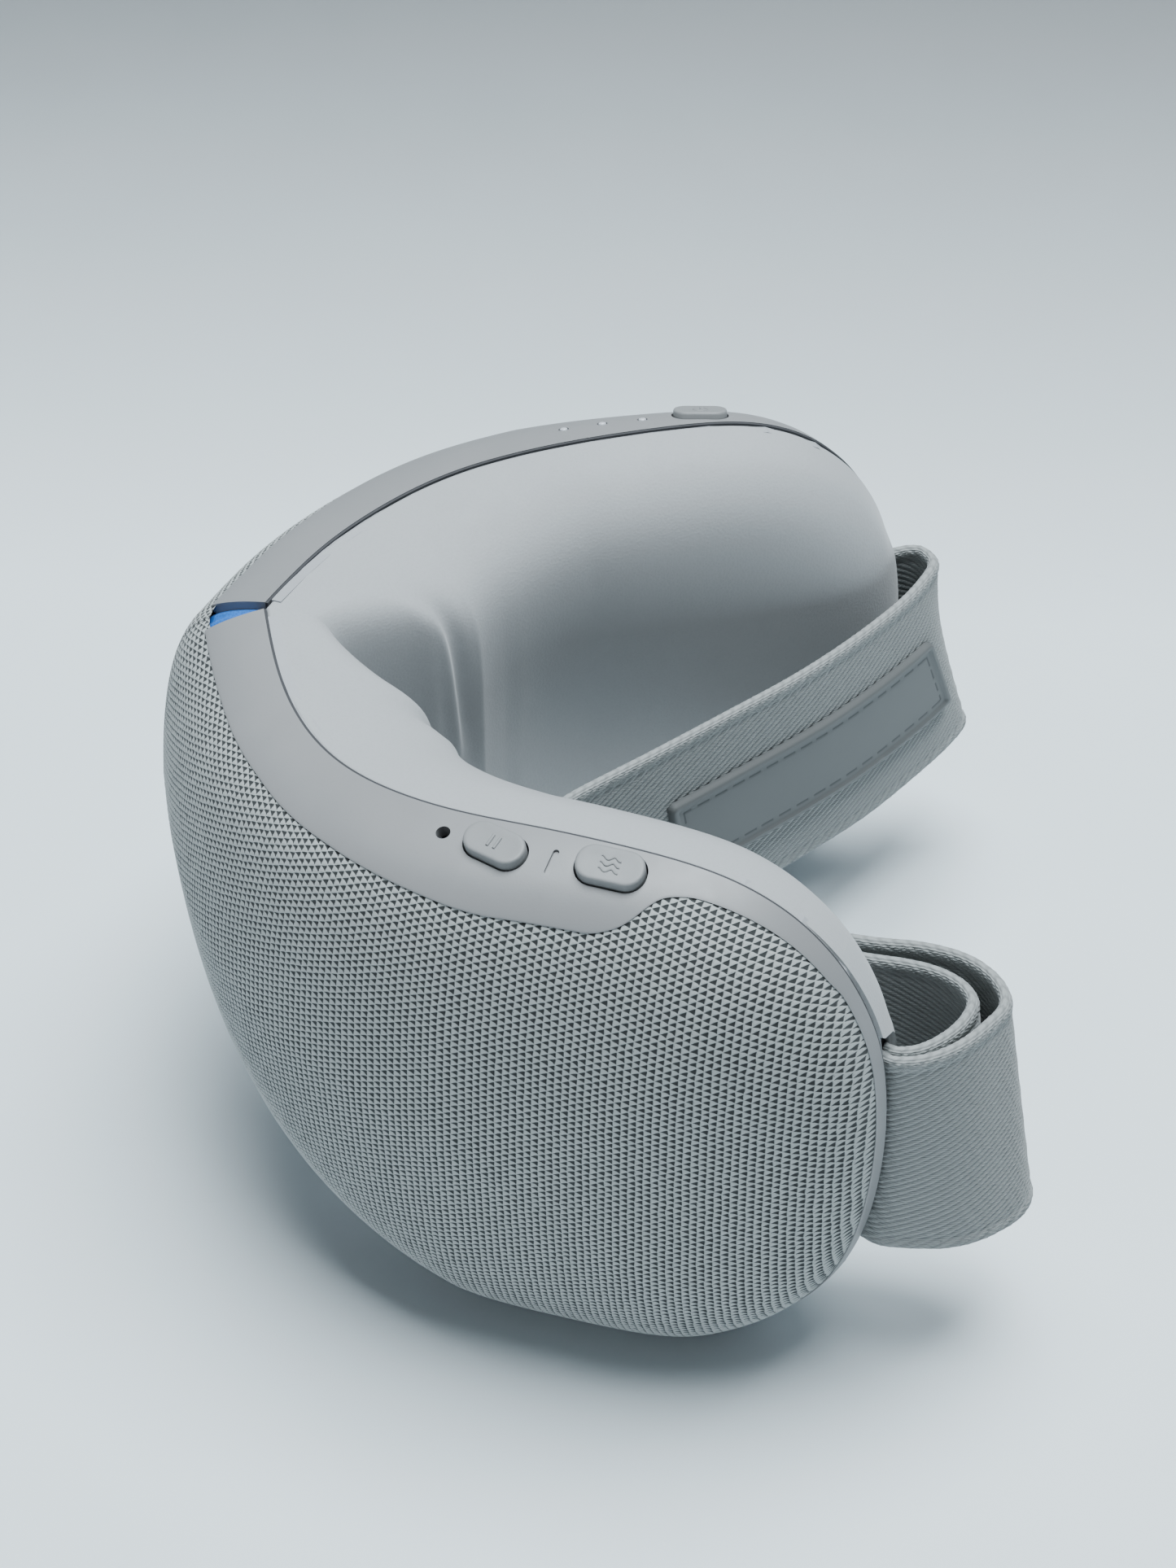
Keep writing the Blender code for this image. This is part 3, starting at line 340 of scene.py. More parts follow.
class Look:
    """Small builder for procedural materials."""

    def __init__(self, name, colour, rough, metallic=0.0, **sockets):
        self.material = bpy.data.materials.new(name)
        self.material.use_nodes = True
        self.nodes, self.links = self.material.node_tree.nodes, self.material.node_tree.links
        self.shader = self.nodes["Principled BSDF"]
        self.shader.inputs["Base Color"].default_value = (*colour, 1)
        self.shader.inputs["Roughness"].default_value = rough
        self.shader.inputs["Metallic"].default_value = metallic
        for key, value in sockets.items():
            self.shader.inputs[key.replace("_", " ")].default_value = value
        self.coordinates = self.nodes.new("ShaderNodeTexCoord")
        self.colour = (*colour, 1)
        self.height = None

    def math(self, operation, a, b=None, c=None):
        node = self.nodes.new("ShaderNodeMath")
        node.operation = operation
        for socket, value in zip(node.inputs, (a, b, c)):
            if value is None:
                continue
            if hasattr(value, "links"):
                self.links.new(value, socket)
            else:
                socket.default_value = value
        return node.outputs[0]

    def vector(self, space="Object", scale=(1, 1, 1)):
        node = self.nodes.new("ShaderNodeMapping")
        node.inputs["Scale"].default_value = scale
        self.links.new(self.coordinates.outputs[space], node.inputs["Vector"])
        return node.outputs[0]

    def parts(self, space):
        """X, Y and Z of one kind of coordinates."""
        node = self.nodes.new("ShaderNodeSeparateXYZ")
        self.links.new(self.coordinates.outputs[space], node.inputs[0])
        return node.outputs

    def noise(self, scale, detail=4.0, rough=0.55, space="Object", stretch=(1, 1, 1)):
        node = self.nodes.new("ShaderNodeTexNoise")
        node.inputs["Scale"].default_value = scale
        node.inputs["Detail"].default_value = detail
        node.inputs["Roughness"].default_value = rough
        self.links.new(self.vector(space, stretch), node.inputs["Vector"])
        return node.outputs["Fac"]

    def cells(self, scale, feature='F1'):
        node = self.nodes.new("ShaderNodeTexVoronoi")
        node.feature = feature
        node.inputs["Scale"].default_value = scale
        self.links.new(self.vector(), node.inputs["Vector"])
        return node.outputs["Distance"]

    def ramp(self, value, low, high, out_low=0.0, out_high=1.0):
        node = self.nodes.new("ShaderNodeMapRange")
        for key, number in zip(("From Min", "From Max", "To Min", "To Max"), (low, high, out_low, out_high)):
            node.inputs[key].default_value = number
        self.links.new(value, node.inputs["Value"])
        return node.outputs["Result"]

    def tint(self, factor, colour):
        """Mix another colour over what is there, by a factor."""
        node = self.nodes.new("ShaderNodeMix")
        node.data_type = 'RGBA'
        self.links.new(factor, node.inputs["Factor"])
        socket = self.shader.inputs["Base Color"]
        if socket.links:
            self.links.new(socket.links[0].from_socket, node.inputs["A"])
        else:
            node.inputs["A"].default_value = self.colour
        node.inputs["B"].default_value = (*colour, 1)
        self.links.new(node.outputs["Result"], socket)
        return self

    def roughen(self, value, low, high):
        self.links.new(self.ramp(value, 0.3, 0.7, low, high), self.shader.inputs["Roughness"])
        return self

    def raise_by(self, value, strength, distance=0.0003):
        """Stack another bump."""
        node = self.nodes.new("ShaderNodeBump")
        node.inputs["Strength"].default_value = strength
        node.inputs["Distance"].default_value = distance
        self.links.new(value, node.inputs["Height"])
        if self.height is not None:
            self.links.new(self.height, node.inputs["Normal"])
        self.height = node.outputs[0]
        self.links.new(self.height, self.shader.inputs["Normal"])
        return self


def shade(colour, factor):
    return tuple(min(1.0, value * factor) for value in colour)


def moulded(name, colour, rough, grain=2600.0, depth=0.12, metallic=0.0, **sockets):
    """Moulded or turned surface: fine grain, faint cloudiness and small wear."""
    look = Look(name, colour, rough, metallic, **sockets)
    look.tint(look.ramp(look.noise(35, 5), 0.35, 0.7, 0.0, 0.5), shade(colour, 0.93))
    look.tint(look.ramp(look.noise(900, 3), 0.62, 0.8, 0.0, 0.35), shade(colour, 0.86))
    look.roughen(look.noise(160, 4), max(0.05, rough - 0.06), rough + 0.08)
    look.raise_by(look.noise(grain, 3, 0.6), depth, 0.00006)
    return look.material


def brushed(name, colour, rough):
    """Metal with fine marks along one way."""
    look = Look(name, colour, rough, 1.0)
    marks = look.noise(700, 6, 0.7, stretch=(1, 1, 0.04))
    look.tint(look.ramp(marks, 0.4, 0.62), shade(colour, 0.8))
    look.roughen(marks, rough - 0.06, rough + 0.14)
    look.raise_by(marks, 0.15, 0.00004)
    return look.material


KNIT_COLUMN, KNIT_ROW = 1.08, 1.10


def knit_look():
    """Open knit: columns of small dark triangles between pale cords, each half a step off the last."""
    pale = (0.50, 0.525, 0.52)
    look = Look("knit", pale, 0.9, Sheen_Weight=0.2, Sheen_Roughness=0.5)
    split = look.parts("UV")
    across = look.math('ADD', look.math('DIVIDE', split[0], KNIT_COLUMN),
                       look.ramp(look.noise(520, 2), 0.3, 0.7, -0.09, 0.09))
    column = look.math('FLOOR', look.math('DIVIDE', split[0], KNIT_COLUMN))
    shift = look.math('MULTIPLY', look.math('MODULO', column, 2.0), 0.5)
    up = look.math('ADD', look.math('ADD', look.math('DIVIDE', split[1], KNIT_ROW), shift),
                   look.ramp(look.noise(480, 2, stretch=(1, 1, 1.3)), 0.3, 0.7, -0.08, 0.08))
    p = look.math('FRACT', across)
    q = look.math('ABSOLUTE', look.math('SUBTRACT', look.math('FRACT', up), 0.5))
    # inside the triangle when q is under a height that grows along p to a blunt end
    height = look.ramp(p, 0.0, 0.80, 0.02, 0.385)
    hole = look.ramp(look.math('SUBTRACT', height, q), -0.03, 0.05)
    hole = look.math('MULTIPLY', hole, look.ramp(p, 0.95, 0.86))
    lean = look.math('SUBTRACT', p, look.math('MULTIPLY', q, 2.2))
    strand = look.math('SINE', look.math('MULTIPLY', lean, 23.0))
    look.tint(look.ramp(look.noise(60, 4), 0.35, 0.7, 0.0, 0.5), shade(pale, 0.9))
    look.tint(look.ramp(strand, 0.1, -1.0, 0.0, 0.5), shade(pale, 0.62))
    look.tint(look.math('MULTIPLY', hole, 0.95), (0.010, 0.012, 0.013))
    look.raise_by(look.math('MULTIPLY', hole, -1.0), 0.8, 0.0003)
    look.raise_by(strand, 0.25, 0.00007)
    look.raise_by(look.noise(5200, 2), 0.25, 0.00006)
    return look.material


def cushion_look():
    """Fine soft coated cloth with a barely seen grain."""
    colour = (0.42, 0.43, 0.44)
    look = Look("cushion_cloth", colour, 0.72, Sheen_Weight=0.35, Sheen_Roughness=0.4)
    look.tint(look.ramp(look.noise(28, 4), 0.35, 0.7, 0.0, 0.4), shade(colour, 0.95))
    look.tint(look.ramp(look.cells(2300), 0.1, 0.6, 0.3, 0.0), shade(colour, 0.86))
    look.roughen(look.noise(240, 3), 0.66, 0.8)
    look.raise_by(look.cells(2300), 0.28, 0.00009)
    look.raise_by(look.noise(7000, 2), 0.12, 0.00005)
    return look.material


RIB_PITCH = 2.2


def webbing_look(name, colour, factor=1.0):
    """Elastic twill webbing: diagonal ribs broken by weft, with fuzz."""
    colour = shade(colour, factor)
    look = Look(name, colour, 0.88, Sheen_Weight=0.3, Sheen_Roughness=0.5)
    split = look.parts("UV")
    u, v = split[0], split[1]
    weft = look.math('SINE', look.math('MULTIPLY', v, 2 * math.pi / 0.62))
    rib = look.math('COSINE', look.math('MULTIPLY', look.math('SUBTRACT', u, v), 2 * math.pi / RIB_PITCH))
    look.tint(look.ramp(look.noise(45, 4), 0.35, 0.7, 0.0, 0.5), shade(colour, 0.92))
    look.tint(look.ramp(rib, 0.0, -1.0, 0.0, 0.7), shade(colour, 0.62))
    look.tint(look.ramp(weft, 0.2, -1.0, 0.0, 0.35), shade(colour, 0.72))
    look.raise_by(rib, 0.35, 0.00012)
    look.raise_by(weft, 0.45, 0.00012)
    look.raise_by(look.noise(4200, 3), 0.3, 0.00008)
    return look.material


def patch_look():
    """Soft rubber with darker stitches where the first number of the mesh's own map is one."""
    colour = (0.13, 0.135, 0.135)
    look = Look("patch_rubber", colour, 0.6)
    split = look.parts("UV")
    look.tint(look.ramp(look.noise(60, 3), 0.35, 0.7, 0.0, 0.4), shade(colour, 0.88))
    look.tint(look.ramp(split[0], 0.15, 0.6, 0.0, 0.85), shade(colour, 0.3))
    look.raise_by(look.noise(3000, 3), 0.2, 0.00005)
    return look.material


def pleat_look():
    colour = (0.012, 0.17, 0.62)
    look = Look("blue_cloth", colour, 0.6, Sheen_Weight=0.3, Sheen_Roughness=0.4)
    look.tint(look.ramp(look.noise(2600, 2), 0.4, 0.65), shade(colour, 0.7))
    look.raise_by(look.noise(3600, 3), 0.3, 0.00008)
    return look.material


def board_look():
    look = Look("circuit_board", (0.015, 0.14, 0.06), 0.4, Coat_Weight=0.4)
    look.tint(look.ramp(look.cells(260, 'DISTANCE_TO_EDGE'), 0.08, 0.03), (0.03, 0.24, 0.10))
    look.tint(look.ramp(look.cells(330), 0.13, 0.09), (0.65, 0.55, 0.32))
    look.raise_by(look.cells(260, 'DISTANCE_TO_EDGE'), 0.2, 0.00005)
    return look.material


BAND = (0.27, 0.27, 0.275)
looks = {
    "knit": knit_look(),
    "band": moulded("satin_band", BAND, 0.42, 3800, 0.2),
    "cover": cushion_look(),
    "button": moulded("soft_button", (0.26, 0.263, 0.266), 0.5, 3600, 0.25),
    "webbing": webbing_look("webbing_outer", (0.345, 0.36, 0.357)),
    "silicone": moulded("silicone_label", (0.13, 0.135, 0.135), 0.62, 4200, 0.25),
    "blue": pleat_look(),
    "shell": moulded("inner_shell", (0.40, 0.41, 0.43), 0.55),
    "foam": moulded("foam", (0.66, 0.66, 0.63), 0.95, 1500, 0.6),
    "dark": moulded("dark_window", (0.015, 0.015, 0.018), 0.18, 2000, 0.05, Coat_Weight=0.6),
    "steel": brushed("brushed_steel", (0.58, 0.59, 0.61), 0.3),
    "brass": brushed("turned_brass", (0.70, 0.50, 0.22), 0.32),
    "board": board_look(),
    "cell": moulded("foil_cell", (0.48, 0.49, 0.53), 0.35, 500, 0.3, 0.6),
    "lens": moulded("light_lens", (0.62, 0.64, 0.68), 0.25, 3000, 0.1, Coat_Weight=0.5),
    "clear": moulded("airbag_film", (0.70, 0.73, 0.77), 0.3, 900, 0.25, Coat_Weight=0.3),
    "film": moulded("heating_film", (0.50, 0.26, 0.05), 0.35, 1200, 0.2, Coat_Weight=0.3),
    # painted shade: near-black colour for the strip that stands in for the shadow in the seam gap
    "seam": moulded("painted_seam_shadow", (0.05, 0.05, 0.055), 0.8),
}


# ---------------------------------------------------------------- bands and buttons

# Each control: s and height on the band, length and width
PAUSE = (63.5, 91.25, 9.4, 5.3)
WAVE = (80.0, 91.85, 9.8, 5.6)
POWER = (88.0, 91.4, 8.6, 5.0)
LIGHTS = ((66.0, 91.2), (72.2, 91.5), (78.6, 91.7))
LIGHT_PROFILE = ((1.24, -1.9), (1.24, 0.0), (1.1, 0.1), (0.7, 0.18), (0.2, 0.2))
WINDOW = (55.7, 90.75)
GROOVE = (71.8, 91.5)
CHARGING = (45.0, 7.9)
BUTTON_GAP, BUTTON_PROUD, BUTTON_DEPTH = 0.28, 1.4, 2.3
POWER_SUNK = 0.5
# Rolled edge of a button: inset and drop below its top
BUTTON_EDGE = ((0, 0.5), (0.02, 0.32), (0.08, 0.17), (0.18, 0.07), (0.32, 0.015), (0.6, 0.0), (1.2, 0.03))
FRAME_WALL = 2.0


def band(side, tag):
    """Smooth band and rim round one half, with a rolled lip against the knit."""
    widths = band_widths(side, CHAIN, TOP_STATIONS, END_STATIONS)[:, None]
    shares = np.array([0, 0.01, 0.03, 0.06, 0.1, 0.15, 0.21, 0.28, 0.36, 0.45, 0.55, 0.65, 0.75, 0.86, 0.94])
    lip = [(0.30, 0.0), (0.16, 0.02), (0.06, 0.09), (0.01, 0.2), (0.0, 0.34), (0.0, 1.2)]
    offsets = [shares * (widths - 0.32)]
    depths = [np.zeros(len(shares))]
    for back, depth in lip:
        offsets.append(widths - back)
        depths.append(np.array([depth]))
    for share in (0.9, 0.6, 0.3):
        offsets.append(widths * share)
        depths.append(np.array([FRAME_WALL]))
    offset = np.concatenate([np.broadcast_to(part, (len(CHAIN), part.shape[-1])) for part in offsets], axis=1)
    depth = np.concatenate(depths)[None]
    s_line = CHAIN[:, :1] + INWARD[:, :1] * offset
    height, slope = crown_at(s_line, offset)
    norm = np.sqrt(1 + slope ** 2)
    offset = offset + slope * depth / norm * (depth > 0.5)
    height = height - np.where(depth > 0.5, depth / norm, depth)
    offset = np.concatenate([offset, np.full((len(CHAIN), 1), 2.2), np.full((len(CHAIN), 1), 0.25)], axis=1)
    height = np.concatenate([height, np.full((len(CHAIN), 2), 0.0)], axis=1)
    s = np.maximum(CHAIN[:, :1] + INWARD[:, :1] * offset, HINGE_S)
    z = CHAIN[:, 1:] + INWARD[:, 1:] * offset
    item = ring_body("band_" + tag, place(side, s, z, height), looks["band"], sharp=32)
    return item


def hole_cutter(matrix, points, low=-6.0):
    """Straight cutter."""
    return levels_body("cutter", matrix, [(points, low), (points, 4.0)], looks["band"])


def button(name, side, control, radius, body, sunk=0.0):
    """Soft pill shaped button with a rolled edge and a shallow dish on top."""
    s, z, length, width = control
    matrix = surface_frame(side, s, z) @ Matrix.Translation((0, 0, -sunk * MM))
    levels = [(rounded(length, width, radius), -BUTTON_DEPTH)]
    for inset, drop in BUTTON_EDGE:
        levels.append((rounded(length - 2 * inset, width - 2 * inset, radius - inset), BUTTON_PROUD - drop))
    for share in (0.75, 0.45, 0.12):
        points = rounded(length - 2.4, width - 2.4, radius - 1.2) * share
        levels.append((points, BUTTON_PROUD - 0.05 - 0.03 * (1 - share)))
    item = levels_body(name, matrix, levels, looks["button"], sharp=60)
    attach(item, body)
    return item, matrix


def tube_path(name, matrix, path, radius, look, body):
    """Thin raised line that follows a path in the button's own frame."""
    path = np.array(path, float)
    ahead = np.gradient(path, axis=0)
    ahead /= np.linalg.norm(ahead, axis=1)[:, None]
    sideways = np.stack([-ahead[:, 1], ahead[:, 0], np.zeros(len(path))], axis=1)
    loops = []
    for angle in np.linspace(0, 2 * math.pi, 9)[:-1]:
        loops.append(path + radius * (math.cos(angle) * sideways + math.sin(angle) * np.array([0, 0, 1])))
    item = ring_body(name, transformed(matrix, np.array(loops).transpose(1, 0, 2).reshape(-1, 3)).reshape(
        len(path), 8, 3), look, sharp=80)
    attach(item, body)
    return item


def icons(pause_matrix, wave_matrix, power_matrix):
    top = BUTTON_PROUD - 0.09
    for number, x in enumerate((-0.55, 0.55)):
        path = [(x, -0.95 + 1.9 * t, top) for t in np.linspace(0, 1, 5)]
        tube_path("pause_mark_%d" % number, pause_matrix, path, 0.26, looks["button"], "pause_key")
    for number, y in enumerate((-0.95, 0.0, 0.95)):
        t = np.linspace(-1.45, 1.45, 25)
        path = np.column_stack([t, y + 0.26 * np.sin(t * 3.6), np.full(25, top)])
        tube_path("wave_mark_%d" % number, wave_matrix, path, 0.2, looks["button"], "wave_key")
    turn = np.radians(np.linspace(-240, 60, 25))
    path = np.column_stack([1.1 * np.cos(turn), 1.1 * np.sin(turn), np.full(25, top)])
    tube_path("power_mark_ring", power_matrix, path, 0.14, looks["button"], "power_key")
    path = [(0, 0.2 + 1.2 * t, top) for t in np.linspace(0, 1, 4)]
    tube_path("power_mark_bar", power_matrix, path, 0.14, looks["button"], "power_key")


def button_hole(side, control, radius):
    """Cutter for the hole round a button."""
    s, z, length, width = control
    hole = rounded(length + 2 * BUTTON_GAP, width + 2 * BUTTON_GAP, radius + BUTTON_GAP)
    return hole_cutter(surface_frame(side, s, z), hole)


def bands_and_controls():
    left, right = band(LEFT, "left"), band(RIGHT, "right")
    cutters = [button_hole(LEFT, control, 2.6) for control in (PAUSE, WAVE)]
    cutters.append(hole_cutter(surface_frame(LEFT, *WINDOW), rounded(2.1, 2.1, 1.04, 6)))
    cutters.append(hole_cutter(surface_frame(LEFT, *GROOVE), rounded(0.9, 4.1, 0.44, 6), -0.5))
    cutters.append(hole_cutter(surface_frame(LEFT, *CHARGING), rounded(9.8, 4.0, 1.9, 6)))
    cut(left, cutters)
    cutters = [button_hole(RIGHT, POWER, 2.2)]
    cutters += [hole_cutter(surface_frame(RIGHT, s, z), rounded(1.7, 1.7, 0.84, 5)) for s, z in LIGHTS]
    cut(right, cutters)
    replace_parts(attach(left, "left_half"), "frame_left")
    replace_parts(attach(right, "right_half"), "frame_right")
    pause, pause_matrix = button("pause_cap", LEFT, PAUSE, 2.6, "pause_key")
    wave, wave_matrix = button("wave_cap", LEFT, WAVE, 2.6, "wave_key")
    power, power_matrix = button("power_cap", RIGHT, POWER, 2.2, "power_key", POWER_SUNK)
    for item, node in ((pause, "pause_button"), (wave, "wave_button"), (power, "power_button")):
        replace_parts(item, node)
    icons(pause_matrix, wave_matrix, power_matrix)
    for number, (s, z) in enumerate(LIGHTS, 1):
        matrix = surface_frame(RIGHT, s, z)
        levels = [(rounded(d, d, d / 2 - 0.001, 5), h) for d, h in LIGHT_PROFILE]
        item = levels_body("light_%d" % number, matrix, levels, looks["lens"], sharp=60)
        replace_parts(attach(item, "right_half"), "light_guide_%d" % number)


# ---------------------------------------------------------------- knit

KNIT_DEPTH = 0.22
KNIT_TUCK = 0.6
KNIT_LIFT = 17.0
BRIDGE = 3.0


def knit_relief(u, z):
    """Dent of each hole and the raised cords between them."""
    column = np.floor(u / KNIT_COLUMN + 1e-6)
    p = np.mod(u / KNIT_COLUMN + 1e-6, 1.0)
    q = np.mod(z / KNIT_ROW + 0.5 * np.mod(column, 2), 1.0) - 0.5
    dent = np.exp(-((p - 0.6) / 0.3) ** 2 - (q / 0.22) ** 2)
    return -0.26 * dent + 0.05 * np.cos(2 * math.pi * q) ** 2


def knit_grid():
    """Cloth coordinates in step with the weave, and the s and z they fall on, even over the crown."""
    u = np.arange(-round(BRIDGE * 3 / KNIT_COLUMN), round(139 * 3 / KNIT_COLUMN)) * KNIT_COLUMN / 3
    run = np.linspace(0, 121, 485)
    stretch = 1 + KNIT_LIFT * np.gradient(np.interp(run, PLAN[:, 0], PLAN[:, 3]), run)
    lengths = np.concatenate([[0], np.cumsum((stretch[1:] + stretch[:-1]) / 2 * np.diff(run))])
    s = np.interp(u, lengths, run)
    tall = np.linspace(-1, 94, 191)
    spot_s, spot_z = np.meshgrid(np.maximum(s, HINGE_S), tall, indexing="ij")
    level, _ = crown_at(spot_s, edge_inset(spot_s, spot_z)[0])
    reach = np.cumsum(np.hypot(np.diff(level, axis=1), np.diff(spot_z, axis=1)), axis=1)
    reach = np.pad(reach, ((0, 0), (1, 0))) - reach[:, 93:94]
    w = np.arange(round(-62 * 4 / KNIT_ROW), round(62 * 4 / KNIT_ROW)) * KNIT_ROW / 4
    z = np.array([np.interp(w, line, tall) for line in reach])
    grid_u, grid_w = np.meshgrid(u, w, indexing="ij")
    return grid_u, grid_w, np.repeat(s[:, None], len(w), axis=1), z


def knit(side, tag):
    """Knit cover of one half, on a grid in step with its own weave, carried round the fold to the middle."""
    grid_u, grid_w, s, grid_z = knit_grid()
    u = grid_u[:, 0]
    inset, index = edge_inset(np.maximum(s, HINGE_S), grid_z)
    height, slope = crown_at(s, inset)
    wall = FINE_INWARD[index]
    norm = np.sqrt(1 + slope ** 2)
    depth = KNIT_DEPTH - knit_relief(grid_u, grid_w) * np.clip(inset / 3, 0, 1)
    moved_s = s + wall[..., 0] * slope * depth / norm * np.clip((s - 1) / 4, 0, 1)
    moved_z = grid_z + wall[..., 1] * slope * depth / norm
    level = height - depth / norm
    points = place(side, moved_s, moved_z, level)
    # beyond the fold edge the cloth runs on to the middle in a shallow arch
    share = np.clip(-grid_u / BRIDGE, 0, 1)[..., None]
    edge = points[np.argmin(abs(u)), :, :][None]
    heading = math.radians(HINGE_HEADING)
    reach = edge[..., :1] * side
    fall, up = reach * math.tan(heading), edge[..., 2:]
    middle = np.concatenate([reach * 0, edge[..., 1:2] - fall * 0.55, up], axis=-1)
    corner = np.concatenate([side * reach * 0.45, edge[..., 1:2] - fall * 0.5, up], axis=-1)
    arch = (1 - share) ** 2 * edge + 2 * share * (1 - share) * corner + share ** 2 * middle
    points = np.where(grid_u[..., None] < 0, arch, points)
    inside = inset > FINE_WIDTHS[side][index] - KNIT_TUCK
    faces = grid_faces(*grid_u.shape)
    keep = inside.ravel()[faces].all(axis=1)
    faces = faces[keep]
    used = np.unique(faces)
    lookup = np.zeros(grid_u.size, int)
    lookup[used] = np.arange(len(used))
    uv = np.stack([grid_u + 60 * KNIT_COLUMN, grid_w + 60 * KNIT_ROW], axis=-1).reshape(-1, 2)[used]
    item = make("knit_" + tag, points.reshape(-1, 3)[used], lookup[faces], looks["knit"], uv)
    corners = points.reshape(-1, 3)[faces]
    spans = np.cross(corners[:, 1] - corners[:, 0], corners[:, 3] - corners[:, 0])
    area = float(np.linalg.norm(spans, axis=1).sum())
    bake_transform(item)
    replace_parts(item, "knit_cover_" + tag)
    return item, area


# ---------------------------------------------------------------- cushion

PAD_GRID = (150, 110)
SLOT_SPAN = (21.5, 66.5)
CREASE_DEPTH = 11.0
SEAM_GAP = 0.34
PAD_INSET = [(0, SEAM_GAP), (106, SEAM_GAP), (116, -0.3), (125, -0.5)]
# Rings from the rolled under edge to the face: inset, and depth where the ring isn't on the padded profile
PAD_RINGS = [(0.8, 0.40), (0.35, 0.45), (0.08, 0.6), (0.0, 0.88)]
PAD_RINGS += [(extra, None) for extra in (0.0, 0.06, 0.14, 0.25, 0.4, 0.6, 0.85, 1.15)]
PAD_START, PULL_END = 1.5, 20


def smooth_step(value):
    value = np.clip(value, 0, 1)
    return value * value * (3 - 2 * value)


def pad_base(s, z):
    """Depth at which the padding's own edge starts: deeper where the strap comes out."""
    slot = smooth_step((z - SLOT_SPAN[0] + 1.5) / 2.5) * smooth_step((SLOT_SPAN[1] + 1.5 - z) / 2.5)
    return 0.9 + 4.2 * slot * smooth_step((s - 106) / 4)


def pad_depth(s, z, inset, base):
    """Depth of the padded face behind the seam, with the eye hollow, the nose valley and a soft pucker."""
    rise = 1 - np.exp(-inset / keyed([(0, 3.0), (25, 3.6), (50, PAD_RISE)], s))
    valley = smooth_step(s / 12) ** 0.8
    near = CREASE_DEPTH + (keyed([(0, 20.0), (12, 20.5), (30, 23.0)], s) - CREASE_DEPTH) * valley
    full = np.where(s < 30, near, keyed(PAD_KEYS, s))
    eye = EYE_DEPTH * np.exp(-((s - EYE_CENTRE[0]) ** 2 + (z - EYE_CENTRE[1]) ** 2) / EYE_RADIUS ** 2)
    line = 13.0 + 5.0 * np.clip((86 - z) / 30, 0, 1)
    fade = smooth_step((z - 46) / 16) * smooth_step((91 - z) / 9)
    pucker = 0.9 * np.exp(-((s - line) / 2.6) ** 2) - 0.7 * np.exp(-((s - line - 6) / 3.4) ** 2)
    edge = base + (PAD_BASE - base) * (1 - np.exp(-inset / 0.45))
    return edge + (full - PAD_BASE - eye + pucker * fade) * rise


def pad_shift(s, depth):
    """Keep the inner side of the pad clear of the other half, meeting it exactly on the middle plane."""
    lean = math.tan(math.radians(HINGE_HEADING))
    lean = lean + (NOSE_SHEAR - lean) * smooth_step(s / 9)
    return s + lean * depth * np.clip(1 - s / NOSE_SHEAR_END, 0, 1)


def pad_grid(extra, plain=False):
    """Grid of s, z points inside the pad's own outline, moved in by extra."""
    own = np.full(len(CHAIN), SEAM_GAP) if plain else keyed(PAD_INSET, CHAIN[:, 0])
    boundary = CHAIN + INWARD * (own + extra)[:, None]
    pulled = (boundary[:, 0] - HINGE_S) * PULL_END / (PULL_END - HINGE_S)
    boundary[:, 0] = np.where(CHAIN[:, 0] < PULL_END, pulled, boundary[:, 0])
    boundary[[0, -1], 0] = 0.0
    return patch(boundary, *PAD_GRID)


def cushion():
    """One padded body over both halves: a rolled edge, rings over the shoulder, the face and a back sheet."""
    parts, faces, offset = [], [], 0
    rows, columns = PAD_GRID[0] + 1, PAD_GRID[1] + 1
    ri = np.concatenate([np.arange(rows), np.full(columns - 1, rows - 1), np.arange(rows - 2, -1, -1)])
    rj = np.concatenate([np.zeros(rows, int), np.arange(1, columns), np.full(rows - 1, columns - 1)])
    for side in (RIGHT, LEFT):
        grid = pad_grid(PAD_START)
        s, z = grid[..., 0], grid[..., 1]
        inset, index = edge_inset(np.maximum(s, HINGE_S), z)
        own = keyed(PAD_INSET, FINE[index, 0])
        base = pad_base(s, z)
        depth = pad_depth(s, z, np.maximum(inset - own, PAD_START), base)
        parts.append(place(side, pad_shift(s, depth), z, -depth).reshape(-1, 3))
        faces.append(grid_faces(rows, columns, offset=offset))
        previous = offset + ri * columns + rj
        offset += rows * columns
        for extra, level in PAD_RINGS[::-1]:
            ring = pad_grid(extra, plain=level is not None)[ri, rj]
            base = pad_base(ring[:, 0], ring[:, 1])
            if level is None:
                depth = pad_depth(ring[:, 0], ring[:, 1], np.full(len(ri), extra), base)
            else:
                depth = level + (base - 0.9)
            parts.append(place(side, pad_shift(ring[:, 0], depth), ring[:, 1], -depth))
            current = offset + np.arange(len(ri))
            offset += len(ri)
            faces.append(np.stack([previous[:-1], previous[1:], current[1:], current[:-1]], axis=1))
            previous = current
        grid = pad_grid(0.6, plain=True)
        back = place(side, pad_shift(grid[..., 0], 4.95), grid[..., 1], -4.95)
        back[ri, rj] = parts[-1]
        parts.append(back.reshape(-1, 3))
        faces.append(grid_faces(rows, columns, offset=offset)[:, ::-1])
        offset += rows * columns
    item = make("cushion", np.concatenate(parts), np.concatenate(faces), looks["cover"], sharp=75)
    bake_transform(item)
    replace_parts(item, "cushion_left", "cushion_right", "pad_rim_left", "pad_rim_right")
    return item


def seam_shadow_strip(side, tag):
    """Thin dark strip at the bottom of the seam between band and padding: painted shade standing in for the
    shadow in the seam gap.
    """
    loops = []
    for extra, depth in ((-0.24, 0.04), (-0.24, 0.42), (0.9, 0.38), (0.9, 0.04)):
        chain = CHAIN + INWARD * (SEAM_GAP + extra)
        loops.append(place(side, np.maximum(chain[:, 0], HINGE_S), chain[:, 1], -depth))
    item = ring_body("seam_" + tag, np.stack(loops, axis=1), looks["seam"])
    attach(item, tag + "_half")


